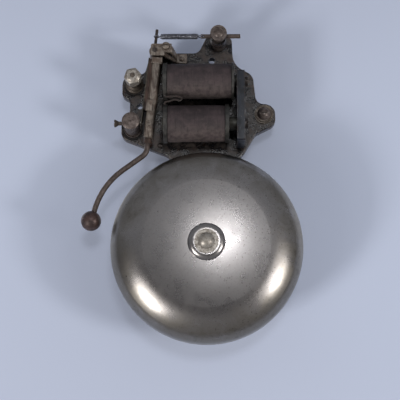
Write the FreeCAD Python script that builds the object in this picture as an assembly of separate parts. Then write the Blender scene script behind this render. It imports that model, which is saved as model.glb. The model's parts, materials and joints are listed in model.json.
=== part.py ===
import FreeCAD, Part
import math
import os

# Electric trembler bell for a wall: six-inch gong, cast frame, two coils and a pivoted armature.
# Millimetres. X points right and Z up as the bell hangs. The wall is the plane Y = 0, and the bell
# stands out of it towards -Y, so "out" below means the distance in front of the wall.
# The origin is on the gong's axis, on the wall.

# Gong
GONG_R = 76.2
GONG_T = 2.8
RIM_OUT = 22.0
SKIRT_TOP_R = 75.9
SKIRT_TOP_OUT = 32.0
SHOULDER_R = 18.0
SHOULDER_FROM = 2.0
SHOULDER_TO = 50.0
HAUNCH_R = 40.0
HAUNCH_TO = 82.0
CROWN_R = 381.0
BOSS_R = 14.5
BOSS_TOP_R = 9.5
BOSS_OUT = 60.5
BOSS_ROUND = 1.6
BOSS_DROP = 1.0
GONG_SEAT_R = 11.0
GONG_SEAT_OUT = 54.6
GONG_WASHER_R = 9.3
GONG_WASHER_T = 1.6
GONG_HEAD_R = 6.4
GONG_HEAD_H = 3.9
GONG_STUD_R = 3.9
GONG_POST_R = 7.0
GONG_POST_HEX = 16.0
GONG_POST_HEX_H = 7.0
GONG_SPIGOT_R = 4.0
GONG_SPIGOT_FOOT = 4.0
GONG_THREAD_L = 16.0
GONG_THREAD_GAP = 2.0
RIM_ROUND = 0.6

# Cast frame
PLATE_T = 8.0
PLATE_EDGE = 1.4
POCKET_DEPTH = 4.0
POCKET_WALL = 5.0
POCKET_LOW_Z = 84.0
ARM_PAD_R = 15.0
ARM_PAD_OUT = 12.0
PAD_TAPER = 2.0
PAD_INSET = 1.5
ROOT_OUT = 7.0
TENSION_BOSS = (7.4, 6.0, 21.5)
PIVOT_BOSS = (5.4, 4.6, 18.5)
BRIDGE_BOSS = (4.3, 3.6)
FOOT_BOSS_R = 4.6
YOKE_PAD_SIDE = 1.5
YOKE_PAD_H = 1.0
YOKE_PAD_LOW_Z = 88.0
YOKE_PAD_TOP_Z = 142.0
FIT = 0.05
PRESS = 0.02
SLOT_W = 1.0
PAST = 1.0

# Magnet: two coils one above the other, both along X
COIL_OUT = 27.0
UPPER_Z = 137.8
LOWER_Z = 101.7
UPPER_LEFT = -35.4
UPPER_RIGHT = 22.4
UPPER_FLANGE_R = 15.3
UPPER_WRAP_R = 14.9
UPPER_RIGHT_FLANGE_T = 2.0
LOWER_LEFT = -34.8
LOWER_RIGHT = 18.2
LOWER_FLANGE_R = 15.8
LOWER_WRAP_R = 15.5
FLANGE_T = 3.2
FLANGE_ROUND = 0.5
BOBBIN_WALL = 1.4
WRAP_T = 1.3
CORE_R = 5.8
POLE_X = -36.2
YOKE_X = 24.6
YOKE_T = 6.5
YOKE_LOW_Z = 85.4
YOKE_TOP_Z = 144.6
YOKE_OUT = 37.0
YOKE_ROUND = 1.5
YOKE_THREAD_OUT = 21.0
CORE_SCREW_HEAD_R = 4.2
CORE_SCREW_HEAD_H = 2.6
CORE_SCREW_SLOT = 1.2
CORE_SCREW_SHANK_R = 2.6
CORE_SCREW_L = 9.0
CORE_THREAD_L = 10.0
POLE_CHAMFER = 0.6

# Armature, drawn upright and then leaned back about its pivot into its rest position
PIVOT_X = -42.4
PIVOT_Z = 163.0
PIVOT_R = 2.0
LEAN = 6.0
HUB_R = 4.8
HUB_LOW_OUT = 19.0
HUB_TOP_OUT = 30.4
BAR_LEFT = -0.8
BAR_W = 7.0
BAR_LOW_OUT = 21.0
BAR_TOP_OUT = 33.0
BAR_FOOT = -74.0
COLLAR_FOOT = -11.4
COLLAR_TOP = -6.4
COLLAR_SIDE = 0.5
NECK_TOP = -4.5
BAR_ROUND = 1.9
BAR_NICKS = 4
NICK_FOOT = -64.8
NICK_PITCH = 1.35
NICK_W = 0.6
NICK_DEPTH = 0.5
STRIP_W = 3.0
STRIP_OUT = (22.5, 31.2)
STRIP_DROP = (-50.6, -7.0)
SPRING_LEAF_T = 0.6
LEAF_OUT = (22.0, 31.6)
LEAF_DROP = (-66.0, -6.6)
LEAF_ROUND = 2.5
RIVET_R = 1.2
RIVET_HEAD_R = 1.9
RIVET_HEAD_H = 0.7
RIVET_FIRST = -18.0
RIVET_PITCH = 13.5
CLAMP_RIGHT = 3.7
CLAMP_LEFT_SIDE = 0.7
CLAMP_T = 1.3
CLAMP_DROP = (-52.4, -42.8)
CLAMP_ROUND = 0.4
CONTACT_DROP = -61.7
CONTACT_BUTTON_R = 1.7
CONTACT_BUTTON_H = 0.9
CONTACT_SHANK_R = 0.8
SWING_OUT = 27.0
ROD_R = 2.2
ROD_STRAIGHT = 12.4
ROD_BEND = (-83.5, 51.4)
ROD_BEND_R = (9.0, 58.0)
ROD_COLLAR_R = 3.2
ROD_COLLAR_H = 4.2
BALL_R = 8.0
ROD_END = 3.0
BALL_X = -92.3
BALL_Z = 21.5

# Return spring and its adjustment
SPRING_OUT = 26.0
SPRING_Z = 177.3
SPRING_LEFT = -38.4
SPRING_RIGHT = -6.8
SPRING_R = 2.45
WIRE_R = 0.47
SPRING_TURNS = 28
PIN_R = 1.25
PIN_LEFT = -0.8
PIN_FOOT = 3.0
PIN_L = 17.5
PIN_HOLE_L = 6.0
PIN_ROUND = 0.5
TENSION_ROD_R = 1.8
TENSION_ROD_ROUND = 0.6
TANG_RIGHT = -1.4
TANG_HALF_T = 0.7
EYE_HOLE_R = 0.85
TENSION_ROD_LEFT = -4.6
TENSION_ROD_RIGHT = 28.2
EYE_X = -3.1
HOOK_R = 2.2
EYE_SLACK = 0.4
TENSION_X = 10.0
TENSION_POST_R = 4.2
TENSION_POST_TOP = 31.0
TENSION_SPIGOT_R = 2.5
TENSION_THREAD_R = 2.4
PAD_R = 2.3
PAD_TOP = 29.4
PAD_GAP = 0.1
TENSION_HEAD_R = 6.9
TENSION_HEAD_H = 3.2
TENSION_HEAD_GAP = 0.15
TENSION_TEETH = 30
MILLING_DEPTH = 0.35
TENSION_DISH_R = 5.2
TENSION_DISH = 0.7
TENSION_CROWN_R = 3.7
TENSION_CROWN_H = 1.3

# Binding posts
TERMINAL_X = -60.2
TERMINAL_Z = 140.3
CONTACT_X = -61.2
CONTACT_Z = 102.0
STUD_R = 1.9
STUD_FOOT = 0.4
STUD_TOP = 37.6
POST_FOOT_R = 7.5
POST_WAIST_R = 4.8
POST_HEAD_R = 6.4
BUSH_R = 3.4
POST_WASHER_R = 8.3
POST_FOOT_OUT = 10.0
REAR_WASHER_R = 4.5
REAR_WASHER_OUT = 2.8
REAR_NUT_FLATS = 7.0
REAR_NUT_OUT = 0.6
TERMINAL_NUT_FLATS = 12.4
TERMINAL_NUT_OUT = (28.4, 36.4)
TERMINAL_WASHER_R = 6.7
TERMINAL_SEAT_OUT = 27.0
CONTACT_BARREL_R = 6.5
CONTACT_FOOT_R = 7.4
CONTACT_FOOT_TOP = 12.6
CONTACT_BARREL_TOP = 31.2
CONTACT_STUD_TOP = 35.4
CONTACT_WASHER_R = 5.9
CONTACT_CAP_OUT = (32.5, 36.6)
CONTACT_CAP_R = 7.3
CONTACT_SCREW_OUT = 27.5
CONTACT_SCREW_R = 1.6
CONTACT_TIP_X = -54.25
CONTACT_SCREW_L = 17.4
CONTACT_TIP_CHAMFER = 0.5
KNOB_R = 3.1
KNOB_NECK_R = 1.7
KNOB_FLARE_L = 2.6
KNOB_DISC_L = 0.8
KNOB_SLOT_DEPTH = 0.7

# Fixing holes and screws in the plate
TOP_HOLE = (4.4, 162.5, 2.8)
LEFT_HOLE = (-56.0, 122.4, 2.4)
HOLE_PAD_R = 6.0
LUG_X = 47.8
LUG_Z = 114.9
LUG_HOLE_R = 2.4
LUG_PAD_R = 8.0
LUG_SHANK_R = 2.3
LUG_WASHERS_R = (8.0, 6.9)
LUG_WASHER_T = 1.4
LUG_HEAD_R = 5.6
LUG_HEAD_H = 3.4
LUG_SLOT = 1.2
TENSION_PAD_R = 7.5
PIVOT_PAD_R = 5.5
PIVOT_PIN_FOOT = 4.5
PIVOT_HOLE_FOOT = 4.0
SCREW_PAD_R = 4.5
BRIDGE_SCREW_X = -33.2
BRIDGE_SCREW_Z = 165.4
BRIDGE_FOOT_X = -20.7
BRIDGE_FOOT_Z = 161.8
BRIDGE_LOW_OUT = 31.0
BRIDGE_TOP_OUT = 33.8
BRIDGE_LEFT = -45.6
BRIDGE_RIGHT = -16.4
BRIDGE_LOW_Z = 158.2
BRIDGE_STEP_Z = 160.9
BRIDGE_LEG_Z = 166.0
BRIDGE_HIGH_Z = 168.2
BRIDGE_SLOPE_X = -24.8
BRIDGE_ELBOW_X = -28.0
BRIDGE_LOW_ELBOW_X = -34.6
BRIDGE_LEG_LEFT = -28.6
BRIDGE_ROUND = 1.5
BRIDGE_SCREW_R = 1.6
BRIDGE_SCREW_FOOT = 19.0
BRIDGE_THREAD_FOOT = 18.0
BRIDGE_CROWN_H = 0.8
BRIDGE_SLOT = 1.6
FOOT_SCREW_R = 1.4
FOOT_SCREW_FOOT = 6.0
FOOT_THREAD_FOOT = 5.0
FOOT_HEAD_R = 2.3
FOOT_HEAD_H = 1.5
BRIDGE_FOOT_T = 2.6
BRIDGE_SEAT_R = 3.9
BRIDGE_SEAT_OUT = 34.6
BRIDGE_HEAD_R = 2.9
BRIDGE_HEAD_H = 2.8
FOOT_PAD_OUT = 12.0
YOKE_SCREW_Z = (93.5, 119.7)
YOKE_SCREW_R = 2.0
YOKE_SCREW_HEAD_R = 3.6
YOKE_SCREW_HEAD_OUT = 1.8
YOKE_SCREW_TOP = 19.0
GROUND_X = -38.5
GROUND_Z = 88.4
GROUND_SCREW_R = 1.3
GROUND_SCREW_FOOT = 3.0
GROUND_THREAD_FOOT = 2.0
GROUND_HEAD_R = 2.5
GROUND_HEAD_H = 1.9

# Cotton-covered leads
LINK_WIRE_R = 0.55
LINK_ANGLE = 60.0
LINK_STANDOFF = 2.5
LINK_LOOP_X = -20.0
LINK_LOOP_OUT = 36.2
LINK_LOOP_Z = (121.4, 118.4)
LINK_BEND_R = 1.2
SUPPLY_LEAD_R = 0.7
SUPPLY_OUT = 18.6
SUPPLY_Z = 145.6
LEAD_BEHIND_OUT = 11.2
GROUND_LEAD_R = 0.55
GROUND_LEAD_OUT = 18.0
GROUND_LEAD_Z = 96.4
GROUND_LEAD_FOOT = 9.0


def at(x, out, z):
    """A point given by its distance out from the wall."""
    return FreeCAD.Vector(x, -out, z)


def disc(x, z, radius, low, high):
    """A cylinder standing out from the wall, from one distance to another."""
    return Part.makeCylinder(radius, high - low, at(x, low, z), FreeCAD.Vector(0, -1, 0))


def taper(x, z, low_r, high_r, low, high):
    return Part.makeCone(low_r, high_r, high - low, at(x, low, z), FreeCAD.Vector(0, -1, 0))


def bar_x(left, right, radius, out, z):
    """A cylinder along X."""
    return Part.makeCylinder(radius, right - left, at(left, out, z), FreeCAD.Vector(1, 0, 0))


def block(left, right, low_out, high_out, low_z, high_z):
    corner = at(left, high_out, low_z)
    return Part.makeBox(right - left, high_out - low_out, high_z - low_z, corner)


def ring(x, z, outer, inner, low, high):
    return disc(x, z, outer, low, high).cut(disc(x, z, inner, low, high))


def rounded_path(points, radii, closed):
    """Straight runs through the points, with a tangent arc of the given radius at each corner."""
    count = len(points)
    corners = range(count) if closed else range(1, count - 1)
    cuts = {}
    for i in corners:
        corner = points[i]
        back = (points[i - 1] - corner).normalize()
        ahead = (points[(i + 1) % count] - corner).normalize()
        half = back.getAngle(ahead) / 2
        reach = radii[i] / math.tan(half)
        middle = (back + ahead).normalize()
        depth = radii[i] / math.sin(half) - radii[i]
        cuts[i] = (corner + back * reach, corner + middle * depth, corner + ahead * reach)
    edges = []
    last = cuts[count - 1][2] if closed else points[0]
    for i in range(count) if closed else range(1, count):
        if i in cuts:
            start, middle, end = cuts[i]
            edges.append(Part.makeLine(last, start))
            edges.append(Part.Arc(start, middle, end).toShape())
            last = end
        else:
            edges.append(Part.makeLine(last, points[i]))
    return Part.Wire(edges)


def tube(points, radii, radius):
    """A round bar or wire of constant radius along a rounded path."""
    path = rounded_path(points, radii, False)
    start = points[0]
    circle = Part.makeCircle(radius, start, points[1] - start)
    return path.makePipeShell([Part.Wire(circle)], True, True)


def hexagon(x, z, across_flats, low, high, turn):
    radius = across_flats / 2 / math.cos(math.pi / 6)
    corners = []
    for i in range(7):
        angle = math.radians(turn + 60 * i)
        corners.append(at(x + radius * math.cos(angle), low, z + radius * math.sin(angle)))
    face = Part.Face(Part.makePolygon(corners))
    return face.extrude(FreeCAD.Vector(0, low - high, 0))


def knurled(x, z, radius, depth, teeth, low, high):
    """A round head with straight teeth cut along its side."""
    corners = []
    for i in range(2 * teeth + 1):
        reach = radius - depth * (i % 2)
        angle = math.pi * i / teeth
        corners.append(at(x + reach * math.cos(angle), low, z + reach * math.sin(angle)))
    face = Part.Face(Part.makePolygon(corners))
    return face.extrude(FreeCAD.Vector(0, low - high, 0))


def turn_about_y(profile, x, z):
    """Revolve a closed profile of (radius, out) points about an axis standing out from the wall."""
    corners = [FreeCAD.Vector(x + r, -out, z) for r, out in profile]
    face = Part.Face(Part.makePolygon(corners + corners[:1]))
    return face.revolve(at(x, 0, z), FreeCAD.Vector(0, 1, 0), 360)


def domed_head(x, z, radius, low, height, slot):
    """A screw head with a spherical top and, where slot is its depth, a straight cut across it."""
    sphere_r = (radius * radius + height * height) / (2 * height)
    reach = math.asin(radius / sphere_r) / 2
    middle = (sphere_r * math.sin(reach), low + height - sphere_r * (1 - math.cos(reach)))
    rim = FreeCAD.Vector(x + radius, -low, z)
    top = at(x, low + height, z)
    edges = [
        Part.makeLine(at(x, low, z), rim),
        Part.Arc(rim, FreeCAD.Vector(x + middle[0], -middle[1], z), top).toShape(),
        Part.makeLine(top, at(x, low, z)),
    ]
    head = Part.Face(Part.Wire(edges)).revolve(at(x, 0, z), FreeCAD.Vector(0, 1, 0), 360)
    if slot:
        half = SLOT_W / 2
        head = head.cut(block(x - radius, x + radius, low + height - slot, low + height, z - half, z + half))
    return head


def save(name, shape):
    shape.exportStep("parts/" + name + ".step")


# ---------------------------------------------------------------- frame casting

def plate_wire(out, inset):
    """The casting's outline, or the same outline drawn in by an inset."""
    corners = [
        (0.0, 184.5, 5.0), (21.3, 184.5, 5.0), (22.3, 159.0, 16.0), (39.0, 150.0, 10.0),
        (41.6, 124.5, 7.0), (57.4, 124.5, 9.0), (57.4, 106.5, 7.0), (40.5, 98.0, 8.0),
        (32.0, 83.5, 5.0), (20.0, 68.0, 20.0), (15.0, -15.5, 14.5), (-15.0, -15.5, 14.5),
        (-20.0, 68.0, 16.0), (-33.0, 80.0, 12.0), (-71.4, 95.0, 8.0), (-71.4, 113.5, 8.0),
        (-64.6, 117.0, 4.0), (-64.6, 128.0, 4.0), (-71.2, 131.0, 6.0), (-71.2, 151.1, 9.5),
        (-52.4, 151.1, 5.0), (-47.6, 169.7, 3.0), (-7.0, 169.7, 7.0),
    ]
    points = [at(x, out, z) for x, z, radius in corners]
    wire = rounded_path(points, [radius for x, z, radius in corners], True)
    if inset:
        wire = wire.makeOffset2D(-inset)
    return wire


def plate_body():
    out = FreeCAD.Vector(0, -PLATE_T, 0)
    body = Part.Face(plate_wire(0.0, 0.0)).extrude(out)
    front = [e for e in body.Edges if e.BoundBox.YMax < 0.01 - PLATE_T]
    body = body.makeFillet(PLATE_EDGE, front)
    pocket = Part.Face(plate_wire(0.0, POCKET_WALL)).extrude(FreeCAD.Vector(0, -POCKET_DEPTH, 0))
    return body.cut(pocket.common(block(-80, 80, 0, PLATE_T, POCKET_LOW_Z, 200)))


def frame_casting():
    body = plate_body()
    solid_pads = [
        (TOP_HOLE[0], TOP_HOLE[1], HOLE_PAD_R), (LEFT_HOLE[0], LEFT_HOLE[1], HOLE_PAD_R),
        (LUG_X, LUG_Z, LUG_PAD_R), (TENSION_X, SPRING_Z, TENSION_PAD_R), (PIVOT_X, PIVOT_Z, PIVOT_PAD_R),
        (BRIDGE_SCREW_X, BRIDGE_SCREW_Z, SCREW_PAD_R), (BRIDGE_FOOT_X, BRIDGE_FOOT_Z, SCREW_PAD_R),
        (GROUND_X, GROUND_Z, SCREW_PAD_R),
    ]
    for x, z, radius in solid_pads:
        body = body.fuse(disc(x, z, radius, 0.0, ROOT_OUT).common(plate_prism()))
    bosses = [
        taper(TENSION_X, SPRING_Z, TENSION_BOSS[0], TENSION_BOSS[1], ROOT_OUT, TENSION_BOSS[2]),
        taper(PIVOT_X, PIVOT_Z, PIVOT_BOSS[0], PIVOT_BOSS[1], ROOT_OUT, PIVOT_BOSS[2]),
        taper(BRIDGE_SCREW_X, BRIDGE_SCREW_Z, BRIDGE_BOSS[0], BRIDGE_BOSS[1], ROOT_OUT, BRIDGE_LOW_OUT),
        disc(BRIDGE_FOOT_X, BRIDGE_FOOT_Z, FOOT_BOSS_R, ROOT_OUT, FOOT_PAD_OUT),
        taper(0.0, 0.0, ARM_PAD_R, ARM_PAD_R - PAD_TAPER, ROOT_OUT, ARM_PAD_OUT),
        block(YOKE_X - YOKE_PAD_SIDE, YOKE_X + YOKE_T + YOKE_PAD_SIDE, ROOT_OUT, PLATE_T + YOKE_PAD_H,
              YOKE_PAD_LOW_Z, YOKE_PAD_TOP_Z),
    ]
    for boss in bosses:
        body = body.fuse(boss)
    for hole in frame_holes():
        body = body.cut(hole)
    return body.removeSplitter()


def frame_holes():
    """Fixing holes go right through. Tapped and plain seats stop short of the casting's back."""
    through = [
        (TOP_HOLE[0], TOP_HOLE[1], TOP_HOLE[2]), (LEFT_HOLE[0], LEFT_HOLE[1], LEFT_HOLE[2]),
        (LUG_X, LUG_Z, LUG_HOLE_R), (TERMINAL_X, TERMINAL_Z, BUSH_R + FIT),
        (CONTACT_X, CONTACT_Z, BUSH_R + FIT),
    ]
    for z in YOKE_SCREW_Z:
        through.append((YOKE_X + YOKE_T / 2, z, YOKE_SCREW_R + FIT))
    holes = [disc(x, z, radius, -PAST, PLATE_T + YOKE_PAD_H + PAST) for x, z, radius in through]
    seats = [
        (0.0, 0.0, GONG_SPIGOT_R, GONG_SPIGOT_FOOT - PAST, ARM_PAD_OUT + PAST),
        (TENSION_X, SPRING_Z, TENSION_SPIGOT_R, ROOT_OUT - PAST, TENSION_BOSS[2] + PAST),
        (PIVOT_X, PIVOT_Z, PIVOT_R, PIVOT_HOLE_FOOT, HUB_LOW_OUT),
        (BRIDGE_SCREW_X, BRIDGE_SCREW_Z, BRIDGE_SCREW_R, BRIDGE_THREAD_FOOT, BRIDGE_LOW_OUT + PAST),
        (BRIDGE_FOOT_X, BRIDGE_FOOT_Z, FOOT_SCREW_R, FOOT_THREAD_FOOT, FOOT_PAD_OUT + PAST),
        (GROUND_X, GROUND_Z, GROUND_SCREW_R, GROUND_THREAD_FOOT, PLATE_T + PAST),
    ]
    for x, z, radius, low, high in seats:
        holes.append(disc(x, z, radius + FIT, low, high))
    return holes


def plate_prism():
    """The plate's outline drawn in a little, so that pads keep off its rounded edge."""
    return Part.Face(plate_wire(0.0, PAD_INSET)).extrude(FreeCAD.Vector(0, -PLATE_T, 0))


# ---------------------------------------------------------------- gong

def polar(centre, radius, degrees):
    angle = math.radians(degrees)
    return (centre[0] + radius * math.cos(angle), centre[1] + radius * math.sin(angle))


def arc_edge(centre, radius, start, end):
    spots = [polar(centre, radius, a) for a in (start, (start + end) / 2, end)]
    return Part.Arc(*[FreeCAD.Vector(r, -out, 0) for r, out in spots]).toShape()


def line_edge(start, end):
    return Part.makeLine(FreeCAD.Vector(start[0], -start[1], 0), FreeCAD.Vector(end[0], -end[1], 0))


def gong_shell():
    """The outer and inner profile share their arc centres, so the wall is GONG_T thick all over."""
    slope = math.radians(SHOULDER_FROM)
    shoulder = (SKIRT_TOP_R - SHOULDER_R * math.cos(slope), SKIRT_TOP_OUT - SHOULDER_R * math.sin(slope))
    turn = polar(shoulder, SHOULDER_R, SHOULDER_TO)
    haunch = polar(turn, HAUNCH_R, SHOULDER_TO + 180)
    top = polar(haunch, HAUNCH_R, HAUNCH_TO)
    crown = polar(top, CROWN_R, HAUNCH_TO + 180)
    boss_foot = math.degrees(math.acos((BOSS_R - crown[0]) / CROWN_R))
    seat_end = math.degrees(math.acos((GONG_SEAT_R - crown[0]) / (CROWN_R - GONG_T)))
    inner_r = SHOULDER_R - GONG_T
    skirt_top = polar(shoulder, SHOULDER_R, SHOULDER_FROM)
    inner_skirt_top = polar(shoulder, inner_r, SHOULDER_FROM)
    foot = polar(crown, CROWN_R, boss_foot)
    seat = polar(crown, CROWN_R - GONG_T, seat_end)
    boss_side = (BOSS_R - BOSS_ROUND, BOSS_OUT - BOSS_DROP)
    edges = [
        line_edge((GONG_R, RIM_OUT), skirt_top),
        arc_edge(shoulder, SHOULDER_R, SHOULDER_FROM, SHOULDER_TO),
        arc_edge(haunch, HAUNCH_R, SHOULDER_TO, HAUNCH_TO),
        arc_edge(crown, CROWN_R, HAUNCH_TO, boss_foot),
        Part.Arc(at(foot[0], foot[1], 0), at(boss_side[0], boss_side[1], 0),
                 at(BOSS_TOP_R, BOSS_OUT, 0)).toShape(),
        line_edge((BOSS_TOP_R, BOSS_OUT), (GONG_STUD_R + FIT, BOSS_OUT)),
        line_edge((GONG_STUD_R + FIT, BOSS_OUT), (GONG_STUD_R + FIT, GONG_SEAT_OUT)),
        line_edge((GONG_STUD_R + FIT, GONG_SEAT_OUT), (GONG_SEAT_R, GONG_SEAT_OUT)),
        line_edge((GONG_SEAT_R, GONG_SEAT_OUT), seat),
        arc_edge(crown, CROWN_R - GONG_T, seat_end, HAUNCH_TO),
        arc_edge(haunch, HAUNCH_R - GONG_T, HAUNCH_TO, SHOULDER_TO),
        arc_edge(shoulder, inner_r, SHOULDER_TO, SHOULDER_FROM),
        line_edge(inner_skirt_top, (GONG_R - GONG_T, RIM_OUT)),
        line_edge((GONG_R - GONG_T, RIM_OUT), (GONG_R, RIM_OUT)),
    ]
    face = Part.Face(Part.Wire(edges))
    shell = face.revolve(FreeCAD.Vector(0, 0, 0), FreeCAD.Vector(0, 1, 0), 360)
    rim = [e for e in shell.Edges if e.BoundBox.YMin > -0.01 - RIM_OUT]
    return shell.makeFillet(RIM_ROUND, rim)


def gong_post():
    pillar = disc(0, 0, GONG_POST_R, ARM_PAD_OUT, GONG_SEAT_OUT)
    nut = hexagon(0, 0, GONG_POST_HEX, ARM_PAD_OUT, ARM_PAD_OUT + GONG_POST_HEX_H, 0)
    spigot = disc(0, 0, GONG_SPIGOT_R, GONG_SPIGOT_FOOT, ARM_PAD_OUT)
    thread = disc(0, 0, GONG_STUD_R + FIT, GONG_SEAT_OUT - GONG_THREAD_L, GONG_SEAT_OUT)
    return pillar.fuse([nut, spigot]).cut(thread).removeSplitter()


def gong_screw():
    low = BOSS_OUT + GONG_WASHER_T
    head = domed_head(0, 0, GONG_HEAD_R, low, GONG_HEAD_H, 0)
    shank = disc(0, 0, GONG_STUD_R, GONG_SEAT_OUT - GONG_THREAD_L + GONG_THREAD_GAP, low)
    return head.fuse(shank).removeSplitter()


# ---------------------------------------------------------------- magnet

def yoke_bar():
    bar = block(YOKE_X, YOKE_X + YOKE_T, PLATE_T + YOKE_PAD_H, YOKE_OUT, YOKE_LOW_Z, YOKE_TOP_Z)
    corners = [e for e in bar.Edges if abs(e.BoundBox.XLength - YOKE_T) < 0.1]
    bar = bar.makeFillet(YOKE_ROUND, corners)
    for z in (UPPER_Z, LOWER_Z):
        bar = bar.cut(bar_x(YOKE_X - PAST, YOKE_X + YOKE_T + PAST, CORE_SCREW_SHANK_R + FIT, COIL_OUT, z))
    for z in YOKE_SCREW_Z:
        bar = bar.cut(disc(YOKE_X + YOKE_T / 2, z, YOKE_SCREW_R + FIT, PLATE_T, YOKE_THREAD_OUT))
    return bar


def core(z):
    rod = bar_x(POLE_X, YOKE_X, CORE_R, COIL_OUT, z)
    tapped = bar_x(YOKE_X - CORE_THREAD_L, YOKE_X, CORE_SCREW_SHANK_R + FIT, COIL_OUT, z)
    rod = rod.cut(tapped)
    pole = [e for e in rod.Edges if e.BoundBox.XMax < POLE_X + 0.1]
    return rod.makeChamfer(POLE_CHAMFER, pole)


def core_screw(z):
    face = YOKE_X + YOKE_T
    top = face + CORE_SCREW_HEAD_H
    shank = bar_x(YOKE_X - CORE_SCREW_L, face, CORE_SCREW_SHANK_R, COIL_OUT, z)
    head = bar_x(face, top, CORE_SCREW_HEAD_R, COIL_OUT, z)
    low_out = COIL_OUT - CORE_SCREW_HEAD_R
    high_out = COIL_OUT + CORE_SCREW_HEAD_R
    slot = block(top - CORE_SCREW_SLOT, top, low_out, high_out, z - SLOT_W / 2, z + SLOT_W / 2)
    return shank.fuse(head).cut(slot).removeSplitter()


def bobbin(left, right, right_t, flange_r, z):
    tube_wall = bar_x(left, right, CORE_R + BOBBIN_WALL, COIL_OUT, z)
    flanges = [
        bar_x(left, left + FLANGE_T, flange_r, COIL_OUT, z),
        bar_x(right - right_t, right, flange_r, COIL_OUT, z),
    ]
    body = tube_wall.fuse(flanges).removeSplitter()
    rims = [e for e in body.Edges if e.BoundBox.ZLength > 2 * flange_r - 0.1]
    body = body.makeFillet(FLANGE_ROUND, rims)
    return body.cut(bar_x(left - PAST, right + PAST, CORE_R + FIT, COIL_OUT, z))


def sleeve(start, end, z, outer, inner):
    """A hollow cylinder on a coil's axis."""
    return bar_x(start, end, outer, COIL_OUT, z).cut(bar_x(start, end, inner, COIL_OUT, z))


# ---------------------------------------------------------------- pivot bridge

def strap_slice(profile, low_z, high_z):
    """A profile of (x, out) points, drawn up between two heights."""
    corners = [at(x, out, low_z) for x, out in profile]
    return Part.Face(Part.makePolygon(corners + corners[:1])).extrude(FreeCAD.Vector(0, 0, high_z - low_z))


def pivot_bridge():
    """A strap that stands on its foot, slopes up beside the upper screw and covers the pivot."""
    foot_top = FOOT_PAD_OUT + BRIDGE_FOOT_T
    arm = [(BRIDGE_LEFT, BRIDGE_LOW_OUT), (BRIDGE_LEFT, BRIDGE_TOP_OUT)]
    foot = [(BRIDGE_SLOPE_X, foot_top), (BRIDGE_RIGHT, foot_top), (BRIDGE_RIGHT, FOOT_PAD_OUT)]
    steep = foot + [(BRIDGE_SLOPE_X - 1.4, FOOT_PAD_OUT), (BRIDGE_ELBOW_X - 1.4, BRIDGE_LOW_OUT)]
    steep += arm + [(BRIDGE_ELBOW_X, BRIDGE_TOP_OUT)]
    gentle = foot + [(BRIDGE_SLOPE_X - 0.8, FOOT_PAD_OUT), (BRIDGE_LOW_ELBOW_X - 0.6, BRIDGE_LOW_OUT)]
    gentle += arm + [(BRIDGE_LOW_ELBOW_X, BRIDGE_TOP_OUT)]
    strap = strap_slice(steep, BRIDGE_STEP_Z, BRIDGE_HIGH_Z)
    strap = strap.fuse(strap_slice(gentle, BRIDGE_LOW_Z, BRIDGE_STEP_Z))
    leg = block(BRIDGE_LEG_LEFT, BRIDGE_RIGHT + PAST, 0, BRIDGE_TOP_OUT + PAST, BRIDGE_LEG_Z, BRIDGE_HIGH_Z)
    strap = strap.cut(leg).removeSplitter()
    upright = [e for e in strap.Edges if e.BoundBox.XMax < BRIDGE_LEFT + 0.1 and e.BoundBox.YLength > 2]
    strap = strap.makeFillet(BRIDGE_ROUND, upright)
    seat = disc(BRIDGE_SCREW_X, BRIDGE_SCREW_Z, BRIDGE_SEAT_R, BRIDGE_LOW_OUT + PAST, BRIDGE_SEAT_OUT)
    strap = strap.fuse(seat).removeSplitter()
    holes = [
        (PIVOT_X, PIVOT_Z, PIVOT_R, BRIDGE_LOW_OUT, BRIDGE_TOP_OUT),
        (BRIDGE_SCREW_X, BRIDGE_SCREW_Z, BRIDGE_SCREW_R, BRIDGE_LOW_OUT, BRIDGE_SEAT_OUT),
        (BRIDGE_FOOT_X, BRIDGE_FOOT_Z, FOOT_SCREW_R, FOOT_PAD_OUT, foot_top),
    ]
    for x, z, radius, low, high in holes:
        strap = strap.cut(disc(x, z, radius + FIT, low - PAST, high + PAST))
    return strap


def bridge_screw():
    x, z = BRIDGE_SCREW_X, BRIDGE_SCREW_Z
    crown_out = BRIDGE_SEAT_OUT + BRIDGE_HEAD_H
    top = crown_out + BRIDGE_CROWN_H
    shank = disc(x, z, BRIDGE_SCREW_R, BRIDGE_SCREW_FOOT, BRIDGE_SEAT_OUT)
    side = disc(x, z, BRIDGE_HEAD_R, BRIDGE_SEAT_OUT, crown_out)
    crown = domed_head(x, z, BRIDGE_HEAD_R, crown_out, BRIDGE_CROWN_H, 0.0)
    half = SLOT_W / 2
    slot = block(x - BRIDGE_HEAD_R, x + BRIDGE_HEAD_R, top - BRIDGE_SLOT, top, z - half, z + half)
    return shank.fuse([side, crown]).cut(slot).removeSplitter()


def bridge_foot_screw():
    low = FOOT_PAD_OUT + BRIDGE_FOOT_T
    shank = disc(BRIDGE_FOOT_X, BRIDGE_FOOT_Z, FOOT_SCREW_R, FOOT_SCREW_FOOT, low)
    head = domed_head(BRIDGE_FOOT_X, BRIDGE_FOOT_Z, FOOT_HEAD_R, low, FOOT_HEAD_H, FOOT_HEAD_H / 2)
    return shank.fuse(head).removeSplitter()


# ---------------------------------------------------------------- armature

def lean_back(shape):
    shape.rotate(at(PIVOT_X, 0, PIVOT_Z), FreeCAD.Vector(0, 1, 0), LEAN)
    return shape


def leaned(u, w):
    """Where a point beside (u) and above (w) the pivot comes to once the armature leans back."""
    angle = math.radians(LEAN)
    x = PIVOT_X + u * math.cos(angle) + w * math.sin(angle)
    return x, PIVOT_Z + w * math.cos(angle) - u * math.sin(angle)


def arm_block(left, right, low_out, high_out, low, high):
    return block(PIVOT_X + left, PIVOT_X + right, low_out, high_out, PIVOT_Z + low, PIVOT_Z + high)


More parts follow.
